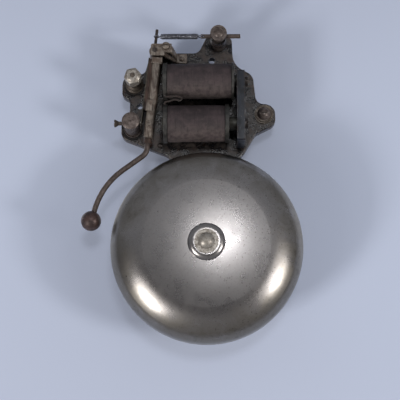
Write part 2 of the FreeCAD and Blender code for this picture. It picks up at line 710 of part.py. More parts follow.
def armature_hub():
    barrel = disc(PIVOT_X, PIVOT_Z, HUB_R, HUB_LOW_OUT, HUB_TOP_OUT)
    left = BAR_LEFT - COLLAR_SIDE
    right = BAR_LEFT + BAR_W + COLLAR_SIDE
    waist = arm_block(left, HUB_R, BAR_LOW_OUT, HUB_TOP_OUT, NECK_TOP, 0)
    neck = arm_block(left, right, BAR_LOW_OUT, HUB_TOP_OUT, COLLAR_FOOT, NECK_TOP)
    collar = arm_block(left, right, BAR_LOW_OUT - COLLAR_SIDE, BAR_TOP_OUT + COLLAR_SIDE, COLLAR_FOOT,
                       COLLAR_TOP)
    hub = barrel.fuse([waist, neck, collar]).removeSplitter()
    hub = hub.cut(disc(PIVOT_X, PIVOT_Z, PIVOT_R + FIT, HUB_LOW_OUT - PAST, BAR_TOP_OUT + PAST))
    pin_foot = at(PIVOT_X + PIN_LEFT, SPRING_OUT, PIVOT_Z + PIN_FOOT)
    pin_hole = Part.makeCylinder(PIN_R + PRESS, PIN_HOLE_L, pin_foot)
    return lean_back(hub.cut(pin_hole))


def armature_bar():
    bar = arm_block(BAR_LEFT, BAR_LEFT + BAR_W, BAR_LOW_OUT, BAR_TOP_OUT, BAR_FOOT, COLLAR_FOOT)
    top = 0.01 - BAR_TOP_OUT
    front = [e for e in bar.Edges if e.BoundBox.YMax < top and e.BoundBox.ZLength > 20]
    bar = bar.makeFillet(BAR_ROUND, front)
    for i in range(BAR_NICKS):
        low = NICK_FOOT + NICK_PITCH * i
        nick = arm_block(BAR_LEFT, BAR_LEFT + BAR_W, BAR_TOP_OUT - NICK_DEPTH, BAR_TOP_OUT, low, low + NICK_W)
        bar = bar.cut(nick)
    return lean_back(bar)


def rivet_drops():
    return [RIVET_FIRST - RIVET_PITCH * i for i in range(3)]


def rivet_hole(drop, radius):
    left = PIVOT_X + leaf_face() - SPRING_LEAF_T - PAST
    return bar_x(left, PIVOT_X + BAR_LEFT, radius + PRESS, SWING_OUT, PIVOT_Z + drop)


def packing_strip():
    strip = arm_block(leaf_face(), BAR_LEFT, STRIP_OUT[0], STRIP_OUT[1], STRIP_DROP[0], STRIP_DROP[1])
    notch_left = BAR_LEFT - COLLAR_SIDE - 2 * FIT
    strip = strip.cut(arm_block(notch_left, BAR_LEFT, 0, BAR_TOP_OUT, COLLAR_FOOT - 4 * FIT, 0))
    for drop in rivet_drops():
        strip = strip.cut(rivet_hole(drop, RIVET_R))
    return lean_back(strip)


def leaf_face():
    """The side of the packing strip that the contact spring lies against."""
    return BAR_LEFT - STRIP_W


def contact_spring():
    left = leaf_face() - SPRING_LEAF_T
    leaf = arm_block(left, leaf_face(), LEAF_OUT[0], LEAF_OUT[1], LEAF_DROP[0], LEAF_DROP[1])
    low = PIVOT_Z + LEAF_DROP[0] + 0.1
    tip = [e for e in leaf.Edges if e.BoundBox.ZMax < low and e.BoundBox.XLength > 0.5]
    leaf = leaf.makeFillet(LEAF_ROUND, [e for e in tip if e.BoundBox.YLength < 0.1])
    for drop in rivet_drops():
        leaf = leaf.cut(rivet_hole(drop, RIVET_R))
    leaf = leaf.cut(rivet_hole(CONTACT_DROP, CONTACT_SHANK_R))
    return lean_back(leaf)


def spacer_rivets():
    rivets = []
    for drop in rivet_drops():
        left = PIVOT_X + leaf_face() - SPRING_LEAF_T
        shank = bar_x(left, PIVOT_X + BAR_LEFT, RIVET_R, SWING_OUT, PIVOT_Z + drop)
        head = bar_x(left - RIVET_HEAD_H, left, RIVET_HEAD_R, SWING_OUT, PIVOT_Z + drop)
        rivets.append(lean_back(head.fuse(shank).removeSplitter()))
    return Part.makeCompound(rivets)


def spring_clamp():
    top = BAR_TOP_OUT + CLAMP_T
    plate = arm_block(BAR_LEFT - CLAMP_LEFT_SIDE, CLAMP_RIGHT, BAR_TOP_OUT, top, CLAMP_DROP[0], CLAMP_DROP[1])
    edges = [e for e in plate.Edges if e.BoundBox.YMax < 0.01 - top]
    return lean_back(plate.makeFillet(CLAMP_ROUND, edges))


def contact_tip():
    left = PIVOT_X + leaf_face() - SPRING_LEAF_T
    z = PIVOT_Z + CONTACT_DROP
    button = bar_x(left - CONTACT_BUTTON_H, left, CONTACT_BUTTON_R, CONTACT_SCREW_OUT, z)
    shank = bar_x(left, left + 2 * SPRING_LEAF_T, CONTACT_SHANK_R, SWING_OUT, z)
    return lean_back(button.fuse(shank).removeSplitter())


def spring_pin():
    pin = Part.makeCylinder(PIN_R, PIN_L, at(PIVOT_X + PIN_LEFT, SPRING_OUT, PIVOT_Z + PIN_FOOT))
    end = [e for e in pin.Edges if e.BoundBox.ZMin > PIVOT_Z + PIN_FOOT + PIN_L - 0.1]
    return lean_back(pin.makeFillet(PIN_ROUND, end))


def rod_collar():
    foot = at(PIVOT_X + BAR_LEFT + BAR_W / 2, SWING_OUT, PIVOT_Z + BAR_FOOT - ROD_COLLAR_H)
    collar = Part.makeCylinder(ROD_COLLAR_R, ROD_COLLAR_H, foot)
    return lean_back(collar.cut(Part.makeCylinder(ROD_R + PRESS, ROD_COLLAR_H, foot)))


def rod_points():
    x, z = leaned(BAR_LEFT + BAR_W / 2, BAR_FOOT)
    low_x, low_z = leaned(BAR_LEFT + BAR_W / 2, BAR_FOOT - ROD_STRAIGHT)
    bend = at(ROD_BEND[0], SWING_OUT, ROD_BEND[1])
    ball = at(BALL_X, SWING_OUT, BALL_Z)
    end = ball + (bend - ball).normalize() * ROD_END
    return [at(x, SWING_OUT, z), at(low_x, SWING_OUT, low_z), bend, end]


def striker_rod():
    return tube(rod_points(), [0, ROD_BEND_R[0], ROD_BEND_R[1], 0], ROD_R)


def striker_ball():
    """A ball with a socket for the rod's end, turned about the rod's own direction."""
    socket_r = ROD_R + PRESS
    mouth = math.sqrt(BALL_R * BALL_R - socket_r * socket_r)
    low = FreeCAD.Vector(0, 0, -BALL_R)
    lip = FreeCAD.Vector(socket_r, 0, mouth)
    seat = FreeCAD.Vector(0, 0, ROD_END)
    edges = [
        Part.Arc(low, FreeCAD.Vector(BALL_R, 0, 0), lip).toShape(),
        Part.makeLine(lip, FreeCAD.Vector(socket_r, 0, ROD_END)),
        Part.makeLine(FreeCAD.Vector(socket_r, 0, ROD_END), seat),
        Part.makeLine(seat, low),
    ]
    ball = Part.Face(Part.Wire(edges)).revolve(FreeCAD.Vector(0, 0, 0), FreeCAD.Vector(0, 0, 1), 360)
    centre = at(BALL_X, SWING_OUT, BALL_Z)
    turn = FreeCAD.Rotation(FreeCAD.Vector(0, 0, 1), rod_points()[2] - centre)
    ball.Placement = FreeCAD.Placement(centre, turn)
    return ball


# ---------------------------------------------------------------- return spring and its adjustment

def spring_body():
    """A ribbed tube: one round rib per turn of the closely wound wire."""
    pitch = (SPRING_RIGHT - SPRING_LEFT) / SPRING_TURNS
    inner = SPRING_R - 2 * WIRE_R
    edges = []
    valley = SPRING_R - WIRE_R
    for i in range(SPRING_TURNS):
        left = SPRING_LEFT + i * pitch
        start = FreeCAD.Vector(left, valley, 0)
        crest = FreeCAD.Vector(left + pitch / 2, SPRING_R, 0)
        end = FreeCAD.Vector(left + pitch, valley, 0)
        edges.append(Part.Arc(start, crest, end).toShape())
    edges.append(Part.makeLine(end, FreeCAD.Vector(SPRING_RIGHT, inner, 0)))
    edges.append(Part.makeLine(FreeCAD.Vector(SPRING_RIGHT, inner, 0), FreeCAD.Vector(SPRING_LEFT, inner, 0)))
    edges.append(Part.makeLine(FreeCAD.Vector(SPRING_LEFT, inner, 0), FreeCAD.Vector(SPRING_LEFT, valley, 0)))
    face = Part.Face(Part.Wire(edges))
    body = face.revolve(FreeCAD.Vector(0, 0, 0), FreeCAD.Vector(1, 0, 0), 360)
    body.translate(at(0, SPRING_OUT, SPRING_Z))
    return body


def end_hook(centre_x, body_x, side):
    """A closed eye round a pin, and the short straight wire and web that join it to the coil."""
    eye = Part.makeTorus(HOOK_R, WIRE_R, at(centre_x, SPRING_OUT, SPRING_Z), FreeCAD.Vector(0, 0, 1))
    start = centre_x + side * HOOK_R
    low, high = sorted((start, body_x))
    shank = bar_x(low, high, WIRE_R, SPRING_OUT, SPRING_Z)
    web_low, web_high = sorted((body_x - side * 0.3, body_x + side * 2 * WIRE_R))
    web = bar_x(web_low, web_high, SPRING_R - WIRE_R - 0.1, SPRING_OUT, SPRING_Z)
    return eye.fuse([shank, web])


def return_spring():
    pin_x, pin_z = leaned(PIN_LEFT, SPRING_Z - PIVOT_Z)
    left = end_hook(pin_x + EYE_SLACK, SPRING_LEFT, 1)
    right = end_hook(EYE_X - HOOK_R, SPRING_RIGHT, -1)
    return spring_body().fuse([left, right]).removeSplitter()


def tension_rod():
    rod = bar_x(TENSION_ROD_LEFT, TENSION_ROD_RIGHT, TENSION_ROD_R, SPRING_OUT, SPRING_Z)
    end = [e for e in rod.Edges if e.BoundBox.XMin > TENSION_ROD_RIGHT - 0.1]
    rod = rod.makeFillet(TENSION_ROD_ROUND, end)
    low_z = SPRING_Z - TENSION_ROD_R
    high_z = SPRING_Z + TENSION_ROD_R
    for side in (-1, 1):
        near, far = sorted((SPRING_OUT + side * TANG_HALF_T, SPRING_OUT + side * TENSION_ROD_R))
        rod = rod.cut(block(TENSION_ROD_LEFT, TANG_RIGHT, near, far, low_z, high_z))
    return rod.cut(disc(EYE_X, SPRING_Z, EYE_HOLE_R, SPRING_OUT - TENSION_ROD_R, SPRING_OUT + TENSION_ROD_R))


def tension_post():
    seat = TENSION_BOSS[2]
    post = disc(TENSION_X, SPRING_Z, TENSION_POST_R, seat, TENSION_POST_TOP)
    post = post.fuse(disc(TENSION_X, SPRING_Z, TENSION_SPIGOT_R, ROOT_OUT, seat))
    thread = disc(TENSION_X, SPRING_Z, TENSION_THREAD_R + FIT, SPRING_OUT, TENSION_POST_TOP)
    return post.cut(rod_hole()).cut(thread).removeSplitter()


def rod_hole():
    left = TENSION_X - TENSION_POST_R - PAST
    right = TENSION_X + TENSION_POST_R + PAST
    return bar_x(left, right, TENSION_ROD_R + FIT, SPRING_OUT, SPRING_Z)


def pressure_pad():
    return disc(TENSION_X, SPRING_Z, PAD_R, SPRING_OUT, PAD_TOP).cut(rod_hole())


def tension_clamp_screw():
    """A milled rim round a shallow dish, with a domed centre."""
    low = TENSION_POST_TOP + TENSION_HEAD_GAP
    top = low + TENSION_HEAD_H
    shank = disc(TENSION_X, SPRING_Z, TENSION_THREAD_R, PAD_TOP + PAD_GAP, low)
    head = knurled(TENSION_X, SPRING_Z, TENSION_HEAD_R, MILLING_DEPTH, TENSION_TEETH, low, top)
    head = head.cut(disc(TENSION_X, SPRING_Z, TENSION_DISH_R, top - TENSION_DISH, top))
    crown = domed_head(TENSION_X, SPRING_Z, TENSION_CROWN_R, top - TENSION_DISH, TENSION_CROWN_H, 0)
    return shank.fuse([head, crown]).removeSplitter()


# ---------------------------------------------------------------- binding posts

def insulating_washers():
    washers = []
    for x, z in ((TERMINAL_X, TERMINAL_Z), (CONTACT_X, CONTACT_Z)):
        washers.append(ring(x, z, POST_WASHER_R, STUD_R + FIT, PLATE_T, POST_FOOT_OUT))
    return Part.makeCompound(washers)


def insulating_bushes():
    bushes = []
    for x, z in ((TERMINAL_X, TERMINAL_Z), (CONTACT_X, CONTACT_Z)):
        bushes.append(ring(x, z, BUSH_R, STUD_R + FIT, POCKET_DEPTH, PLATE_T))
    return Part.makeCompound(bushes)


def rear_washers():
    washers = []
    for x, z in ((TERMINAL_X, TERMINAL_Z), (CONTACT_X, CONTACT_Z)):
        washers.append(ring(x, z, REAR_WASHER_R, STUD_R + FIT, REAR_WASHER_OUT, POCKET_DEPTH))
    return Part.makeCompound(washers)


def rear_nuts():
    nuts = []
    for x, z in ((TERMINAL_X, TERMINAL_Z), (CONTACT_X, CONTACT_Z)):
        nut = hexagon(x, z, REAR_NUT_FLATS, REAR_NUT_OUT, REAR_WASHER_OUT, 15)
        nuts.append(nut.cut(disc(x, z, STUD_R + FIT, 0, POCKET_DEPTH)))
    return Part.makeCompound(nuts)


def terminal_post():
    """A turned post: a wide foot, a waist and a head, with one long stud right through it."""
    foot = [(POST_FOOT_R, POST_FOOT_OUT), (POST_FOOT_R, 12.2), (6.3, 13.0), (6.3, 15.6)]
    waist = [(POST_WAIST_R, 17.0), (POST_WAIST_R, 23.6)]
    head = [(POST_HEAD_R, 25.0), (POST_HEAD_R, TERMINAL_SEAT_OUT)]
    low_stud = [(0, STUD_FOOT), (STUD_R, STUD_FOOT), (STUD_R, POST_FOOT_OUT)]
    stud = [(STUD_R, TERMINAL_SEAT_OUT), (STUD_R, STUD_TOP - 0.4), (STUD_R - 0.4, STUD_TOP), (0, STUD_TOP)]
    return turn_about_y(low_stud + foot + waist + head + stud, TERMINAL_X, TERMINAL_Z)


def terminal_nut():
    """A tall hexagon nut, chamfered a little below and a lot above."""
    low, high = TERMINAL_NUT_OUT
    nut = hexagon(TERMINAL_X, TERMINAL_Z, TERMINAL_NUT_FLATS, low, high, 12)
    wide = TERMINAL_NUT_FLATS / math.sqrt(3) + 0.1
    bounds = [(0, low), (wide - 0.6, low), (wide, low + 1), (wide, high - 1.9), (wide - 3.0, high), (0, high)]
    nut = nut.common(turn_about_y(bounds, TERMINAL_X, TERMINAL_Z))
    return nut.cut(disc(TERMINAL_X, TERMINAL_Z, STUD_R + FIT, low - PAST, high + PAST))


def contact_post():
    top = CONTACT_BARREL_TOP
    barrel = knurled(CONTACT_X, CONTACT_Z, CONTACT_BARREL_R, 0.3, 36, CONTACT_FOOT_TOP, top)
    foot = disc(CONTACT_X, CONTACT_Z, CONTACT_FOOT_R, POST_FOOT_OUT, CONTACT_FOOT_TOP)
    stud = disc(CONTACT_X, CONTACT_Z, STUD_R, STUD_FOOT, POST_FOOT_OUT)
    tip = disc(CONTACT_X, CONTACT_Z, STUD_R, top, CONTACT_STUD_TOP)
    post = barrel.fuse([foot, stud, tip]).removeSplitter()
    left = CONTACT_X - CONTACT_FOOT_R
    right = CONTACT_X + CONTACT_FOOT_R
    return post.cut(bar_x(left, right, CONTACT_SCREW_R + FIT, CONTACT_SCREW_OUT, CONTACT_Z))


def contact_post_cap():
    low, high = CONTACT_CAP_OUT
    cap = knurled(CONTACT_X, CONTACT_Z, CONTACT_CAP_R, MILLING_DEPTH, 34, low, high)
    wide = CONTACT_CAP_R + 0.3
    cone = turn_about_y([(0, low), (wide, low), (wide, high - 1.1), (wide - 1.8, high - 0.2), (0, high)],
                        CONTACT_X, CONTACT_Z)
    cap = cap.common(cone)
    return cap.cut(disc(CONTACT_X, CONTACT_Z, STUD_R + FIT, low - PAST, CONTACT_STUD_TOP + 0.1))


def contact_screw():
    left = CONTACT_TIP_X - CONTACT_SCREW_L
    shank = bar_x(left, CONTACT_TIP_X, CONTACT_SCREW_R, CONTACT_SCREW_OUT, CONTACT_Z)
    tip = [e for e in shank.Edges if e.BoundBox.XMin > CONTACT_TIP_X - 0.1]
    return shank.makeChamfer(CONTACT_TIP_CHAMFER, tip)


def contact_screw_knob():
    """A flared head with a flat disc and a slot at its end."""
    right = CONTACT_TIP_X - CONTACT_SCREW_L
    rim = right - KNOB_FLARE_L
    left = rim - KNOB_DISC_L
    flare = Part.makeCone(KNOB_R, KNOB_NECK_R, KNOB_FLARE_L, at(rim, CONTACT_SCREW_OUT, CONTACT_Z),
                          FreeCAD.Vector(1, 0, 0))
    knob = flare.fuse(bar_x(left, rim, KNOB_R, CONTACT_SCREW_OUT, CONTACT_Z)).removeSplitter()
    low_out = CONTACT_SCREW_OUT - KNOB_R
    high_out = CONTACT_SCREW_OUT + KNOB_R
    low_z = CONTACT_Z - SLOT_W / 2
    return knob.cut(block(left, left + KNOB_SLOT_DEPTH, low_out, high_out, low_z, low_z + SLOT_W))


# ---------------------------------------------------------------- small screws, washers and leads

def yoke_screws():
    """Two slotted screws, put in from the casting's hollow back."""
    screws = []
    x = YOKE_X + YOKE_T / 2
    low = YOKE_SCREW_HEAD_OUT
    half = SLOT_W / 2
    for z in YOKE_SCREW_Z:
        head = disc(x, z, YOKE_SCREW_HEAD_R, low, POCKET_DEPTH)
        shank = disc(x, z, YOKE_SCREW_R, POCKET_DEPTH, YOKE_SCREW_TOP)
        slot = block(x - YOKE_SCREW_HEAD_R, x + YOKE_SCREW_HEAD_R, low, low + SLOT_W, z - half, z + half)
        screws.append(head.fuse(shank).cut(slot).removeSplitter())
    return Part.makeCompound(screws)


def lug_screw():
    low = PLATE_T + 2 * LUG_WASHER_T
    head = domed_head(LUG_X, LUG_Z, LUG_HEAD_R, low, LUG_HEAD_H, LUG_SLOT)
    return head.fuse(disc(LUG_X, LUG_Z, LUG_SHANK_R, 0.5, low)).removeSplitter()


def lug_washers():
    washers = []
    for i, radius in enumerate(LUG_WASHERS_R):
        low = PLATE_T + i * LUG_WASHER_T
        washers.append(ring(LUG_X, LUG_Z, radius, LUG_SHANK_R + FIT, low, low + LUG_WASHER_T))
    return Part.makeCompound(washers)


def ground_screw():
    head = domed_head(GROUND_X, GROUND_Z, GROUND_HEAD_R, PLATE_T, GROUND_HEAD_H, 0.7)
    return head.fuse(disc(GROUND_X, GROUND_Z, GROUND_SCREW_R, GROUND_SCREW_FOOT, PLATE_T)).removeSplitter()


def rim_point(x, axis_z, radius, degrees):
    """A point on a flange's rim, at an angle above the line from its axis straight out from the wall."""
    angle = math.radians(degrees)
    return at(x, COIL_OUT + radius * math.cos(angle), axis_z + radius * math.sin(angle))


def coil_link_wire():
    """Joins the two windings: a long loop that lies in the gap between the coils, from flange to flange."""
    middle = UPPER_LEFT + FLANGE_T / 2
    points = [
        rim_point(middle, UPPER_Z, UPPER_FLANGE_R, -LINK_ANGLE),
        rim_point(middle, UPPER_Z, UPPER_FLANGE_R + LINK_STANDOFF, -LINK_ANGLE),
        at(LINK_LOOP_X, LINK_LOOP_OUT, LINK_LOOP_Z[0]),
        at(LINK_LOOP_X, LINK_LOOP_OUT, LINK_LOOP_Z[1]),
        rim_point(middle, LOWER_Z, LOWER_FLANGE_R + LINK_STANDOFF, LINK_ANGLE),
        rim_point(middle, LOWER_Z, LOWER_FLANGE_R, LINK_ANGLE),
    ]
    return tube(points, [0, LINK_BEND_R, LINK_BEND_R, LINK_BEND_R, LINK_BEND_R, 0], LINK_WIRE_R)


def supply_lead():
    """From the upper winding, low behind the armature, to the terminal post's foot."""
    points = [
        at(UPPER_LEFT, SUPPLY_OUT, SUPPLY_Z), at(UPPER_LEFT - 3.4, SUPPLY_OUT, SUPPLY_Z),
        at(UPPER_LEFT - 5.2, LEAD_BEHIND_OUT + 0.2, SUPPLY_Z - 0.6),
        at(UPPER_LEFT - 11.0, LEAD_BEHIND_OUT, TERMINAL_Z),
        at(TERMINAL_X + POST_FOOT_R, LEAD_BEHIND_OUT, TERMINAL_Z),
    ]
    return tube(points, [0, 2.0, 3.0, 3.0, 0], SUPPLY_LEAD_R)


def ground_lead():
    """From the lower winding down to the screw that earths it on the plate."""
    points = [
        at(LOWER_LEFT, GROUND_LEAD_OUT, GROUND_LEAD_Z), at(LOWER_LEFT - 3.4, GROUND_LEAD_OUT, GROUND_LEAD_Z),
        at(GROUND_X, GROUND_LEAD_FOOT, GROUND_LEAD_Z - 0.4),
        at(GROUND_X, GROUND_LEAD_FOOT, GROUND_Z + GROUND_HEAD_R),
    ]
    return tube(points, [0, 1.4, 2.2, 0], GROUND_LEAD_R)


def main():
    os.makedirs("parts", exist_ok=True)
    save("frame_casting", frame_casting())
    save("gong", gong_shell())
    save("gong_post", gong_post())
    save("gong_washer", ring(0, 0, GONG_WASHER_R, GONG_STUD_R + FIT, BOSS_OUT, BOSS_OUT + GONG_WASHER_T))
    save("gong_screw", gong_screw())

    save("yoke_bar", yoke_bar())
    coils = (
        ("upper", UPPER_LEFT, UPPER_RIGHT, UPPER_RIGHT_FLANGE_T, UPPER_Z, UPPER_FLANGE_R, UPPER_WRAP_R),
        ("lower", LOWER_LEFT, LOWER_RIGHT, FLANGE_T, LOWER_Z, LOWER_FLANGE_R, LOWER_WRAP_R),
    )
    for name, left, right, right_t, z, flange_r, wrap_r in coils:
        winding_r = wrap_r - WRAP_T
        start = left + FLANGE_T
        end = right - right_t
        save(name + "_core", core(z))
        save(name + "_bobbin", bobbin(left, right, right_t, flange_r, z))
        save(name + "_winding", sleeve(start, end, z, winding_r, CORE_R + BOBBIN_WALL + FIT))
        save(name + "_coil_wrap", sleeve(start, end, z, wrap_r, winding_r))
    save("core_screws", Part.makeCompound([core_screw(UPPER_Z), core_screw(LOWER_Z)]))
    save("yoke_screws", yoke_screws())

    save("pivot_bridge", pivot_bridge())
    save("bridge_screw", bridge_screw())
    save("bridge_foot_screw", bridge_foot_screw())
    save("pivot_pin", disc(PIVOT_X, PIVOT_Z, PIVOT_R, PIVOT_PIN_FOOT, BRIDGE_TOP_OUT + 0.7))

    save("armature_hub", armature_hub())
    save("armature_bar", armature_bar())
    save("packing_strip", packing_strip())
    save("contact_spring", contact_spring())
    save("spacer_rivets", spacer_rivets())
    save("spring_clamp", spring_clamp())
    save("contact_tip", contact_tip())
    save("spring_pin", spring_pin())
    save("rod_collar", rod_collar())
    save("striker_rod", striker_rod())
    save("striker_ball", striker_ball())

    save("return_spring", return_spring())
    save("tension_rod", tension_rod())
    save("tension_post", tension_post())
    save("pressure_pad", pressure_pad())
    save("tension_clamp_screw", tension_clamp_screw())

    save("insulating_washers", insulating_washers())
    save("insulating_bushes", insulating_bushes())
    save("rear_washers", rear_washers())
    save("rear_nuts", rear_nuts())
    save("terminal_post", terminal_post())
    save("terminal_washer", ring(TERMINAL_X, TERMINAL_Z, TERMINAL_WASHER_R, STUD_R + FIT, TERMINAL_SEAT_OUT,
                                 TERMINAL_NUT_OUT[0]))
    save("terminal_nut", terminal_nut())
    save("contact_post", contact_post())
    save("contact_post_washer", ring(CONTACT_X, CONTACT_Z, CONTACT_WASHER_R, STUD_R + FIT, CONTACT_BARREL_TOP,
                                     CONTACT_CAP_OUT[0]))
    save("contact_post_cap", contact_post_cap())
    save("contact_screw", contact_screw())
    save("contact_screw_knob", contact_screw_knob())

    save("lug_screw", lug_screw())
    save("lug_washers", lug_washers())
    save("ground_screw", ground_screw())
    save("coil_link_wire", coil_link_wire())
    save("supply_lead", supply_lead())
    save("ground_lead", ground_lead())


main()
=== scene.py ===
import json
import math
import random

import bpy
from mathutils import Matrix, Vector


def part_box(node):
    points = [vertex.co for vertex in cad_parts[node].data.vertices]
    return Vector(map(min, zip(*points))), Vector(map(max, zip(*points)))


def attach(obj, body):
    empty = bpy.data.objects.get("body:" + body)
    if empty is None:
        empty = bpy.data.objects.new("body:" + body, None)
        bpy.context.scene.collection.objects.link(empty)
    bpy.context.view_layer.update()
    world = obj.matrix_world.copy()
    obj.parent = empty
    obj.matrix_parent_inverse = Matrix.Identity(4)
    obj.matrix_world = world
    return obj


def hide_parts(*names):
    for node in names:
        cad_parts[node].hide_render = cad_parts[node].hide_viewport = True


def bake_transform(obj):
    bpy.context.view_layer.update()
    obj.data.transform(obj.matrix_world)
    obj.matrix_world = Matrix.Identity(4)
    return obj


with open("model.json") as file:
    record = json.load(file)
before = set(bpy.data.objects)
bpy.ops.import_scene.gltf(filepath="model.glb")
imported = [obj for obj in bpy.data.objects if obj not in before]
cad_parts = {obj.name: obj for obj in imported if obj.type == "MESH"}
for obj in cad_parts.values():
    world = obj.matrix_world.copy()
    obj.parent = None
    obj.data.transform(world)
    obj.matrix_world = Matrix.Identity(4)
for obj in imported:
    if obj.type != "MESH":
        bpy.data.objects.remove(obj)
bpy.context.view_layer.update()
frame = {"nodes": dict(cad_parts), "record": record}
MM = 0.001


# ------------------------------------------------------------------ camera, stage and lights

LENS = 82.8
NEAREST, FARTHEST = 0.05, 20  # metres
CAMERA_PLACE = Vector((0.00472, -0.74829, -0.10840))
CAMERA_TURN = math.radians(0.8)
CAMERA_RISE = math.radians(-11.5)
GONG_CROWN = Vector((0.0, -0.05, 0.0))


def add_camera():
    data = bpy.data.cameras.new("camera")
    data.lens = LENS
    data.clip_start = NEAREST
    data.clip_end = FARTHEST
    camera = bpy.data.objects.new("camera", data)
    bpy.context.scene.collection.objects.link(camera)
    ahead = Vector((
        -math.sin(CAMERA_TURN) * math.cos(CAMERA_RISE),
        math.cos(CAMERA_TURN) * math.cos(CAMERA_RISE),
        -math.sin(CAMERA_RISE),
    ))
    camera.location = CAMERA_PLACE
    camera.rotation_mode = "QUATERNION"
    camera.rotation_quaternion = ahead.to_track_quat("-Z", "Y")
    bpy.context.scene.camera = camera


WARM = (1.0, 0.98, 0.95)
PLAIN = (1.0, 1.0, 1.0)
COOL = (0.97, 0.98, 1.0)
# name, direction from the gong, distance and size in metres, watts, colour
LIGHTS = (
    ("key_right", (0.78, -0.57, -0.26), 1.5, (0.22, 0.28), 7.4, WARM),
    ("key_left", (-0.67, -0.54, -0.50), 1.5, (0.24, 0.30), 8.8, WARM),
    ("fill_right", (0.66, -0.74, -0.16), 1.6, (0.50, 0.50), 2.6, WARM),
    ("fill_left", (-0.60, -0.68, -0.42), 1.6, (0.50, 0.55), 3.0, WARM),
    ("overhead", (0.07, -0.97, 0.165), 2.0, (0.32, 0.30), 5.4, COOL),
    ("behind_left", (-0.6, 0.7, 0.4), 2.0, (1.0, 1.0), 12.0, PLAIN),
    ("behind_right", (0.7, 0.6, 0.3), 2.0, (1.0, 1.0), 8.0, PLAIN),
)


def soft_light(name, towards, distance, size, watts, colour):
    """A rectangular soft box, seen from the gong in the given direction, and aimed at the gong."""
    data = bpy.data.lights.new(name, "AREA")
    data.shape = "RECTANGLE"
    data.size, data.size_y = size
    data.energy = watts
    data.color = colour
    light = bpy.data.objects.new(name, data)
    bpy.context.scene.collection.objects.link(light)
    way = Vector(towards).normalized()
    light.location = GONG_CROWN + way * distance
    light.rotation_mode = "QUATERNION"
    light.rotation_quaternion = way.to_track_quat("Z", "Y")
    light.visible_camera = False


def add_lights():
    """Side boxes below the bell's level, each with a larger fill near it. The lamp called overhead stands
    in front and only a little above. Two more light the bell's back."""
    for light in LIGHTS:
        soft_light(*light)


# what the camera sees, and the tones of the room that lights the bell
SHOWN_TONE = (0.50, 0.54, 0.62, 1)
SKY_TONE = (0.27, 0.28, 0.30, 1)
FRONT_TONE = (0.05, 0.05, 0.055, 1)
FLOOR_TONE = (0.26, 0.26, 0.27, 1)
# heights of a direction, from -1 straight down to 1 straight up, over which one tone turns into the next
FLOOR_TO_FRONT = (-0.75, -0.25)
FRONT_TO_SKY = (-0.12, 0.32)


def add_world():
    """Pale to the camera. To everything else, a room that is dim above and below, and dark in between."""
    world = bpy.data.worlds.new("room")
    bpy.context.scene.world = world
    world.use_nodes = True
    tree = world.node_tree
    shown = tree.nodes["Background"]
    shown.inputs["Color"].default_value = SHOWN_TONE
    room = tree.nodes.new("ShaderNodeBackground")
    place = tree.nodes.new("ShaderNodeTexCoord")
    parts = tree.nodes.new("ShaderNodeSeparateXYZ")
    tree.links.new(place.outputs["Generated"], parts.inputs[0])

    def toned(start, end, under, over):
        """A colour that changes as the direction's height goes from start to end."""
        rise = tree.nodes.new("ShaderNodeMapRange")
        rise.interpolation_type = "SMOOTHSTEP"
        tree.links.new(parts.outputs["Z"], rise.inputs["Value"])
        rise.inputs["From Min"].default_value = start
        rise.inputs["From Max"].default_value = end
        tone = tree.nodes.new("ShaderNodeMix")
        tone.data_type = "RGBA"
        tree.links.new(rise.outputs["Result"], tone.inputs[0])
        for socket, colour in ((tone.inputs[6], under), (tone.inputs[7], over)):
            if isinstance(colour, bpy.types.NodeSocket):
                tree.links.new(colour, socket)
            else:
                socket.default_value = colour
        return tone.outputs[2]

    below = toned(*FLOOR_TO_FRONT, FLOOR_TONE, FRONT_TONE)
    tree.links.new(toned(*FRONT_TO_SKY, below, SKY_TONE), room.inputs["Color"])
    rays = tree.nodes.new("ShaderNodeLightPath")
    both = tree.nodes.new("ShaderNodeMixShader")
    tree.links.new(rays.outputs["Is Camera Ray"], both.inputs[0])
    tree.links.new(room.outputs[0], both.inputs[1])
    tree.links.new(shown.outputs[0], both.inputs[2])
    tree.links.new(both.outputs[0], tree.nodes["World Output"].inputs["Surface"])


def mesh_object(name, vertices, faces, smooth=True):
    mesh = bpy.data.meshes.new(name)
    mesh.from_pydata([tuple(v) for v in vertices], [], faces)
    mesh.update()
    if smooth:
        mesh.polygons.foreach_set("use_smooth", [True] * len(mesh.polygons))
    made = bpy.data.objects.new(name, mesh)
    bpy.context.scene.collection.objects.link(made)
    return made


# ------------------------------------------------------------------ materials

def srgb(red, green, blue):
    """A colour given as 0 to 255 on a screen, as the shader wants it."""
    def lift(value):
        value /= 255
        return value / 12.92 if value <= 0.04045 else ((value + 0.055) / 1.055) ** 2.4
    return (lift(red), lift(green), lift(blue), 1.0)


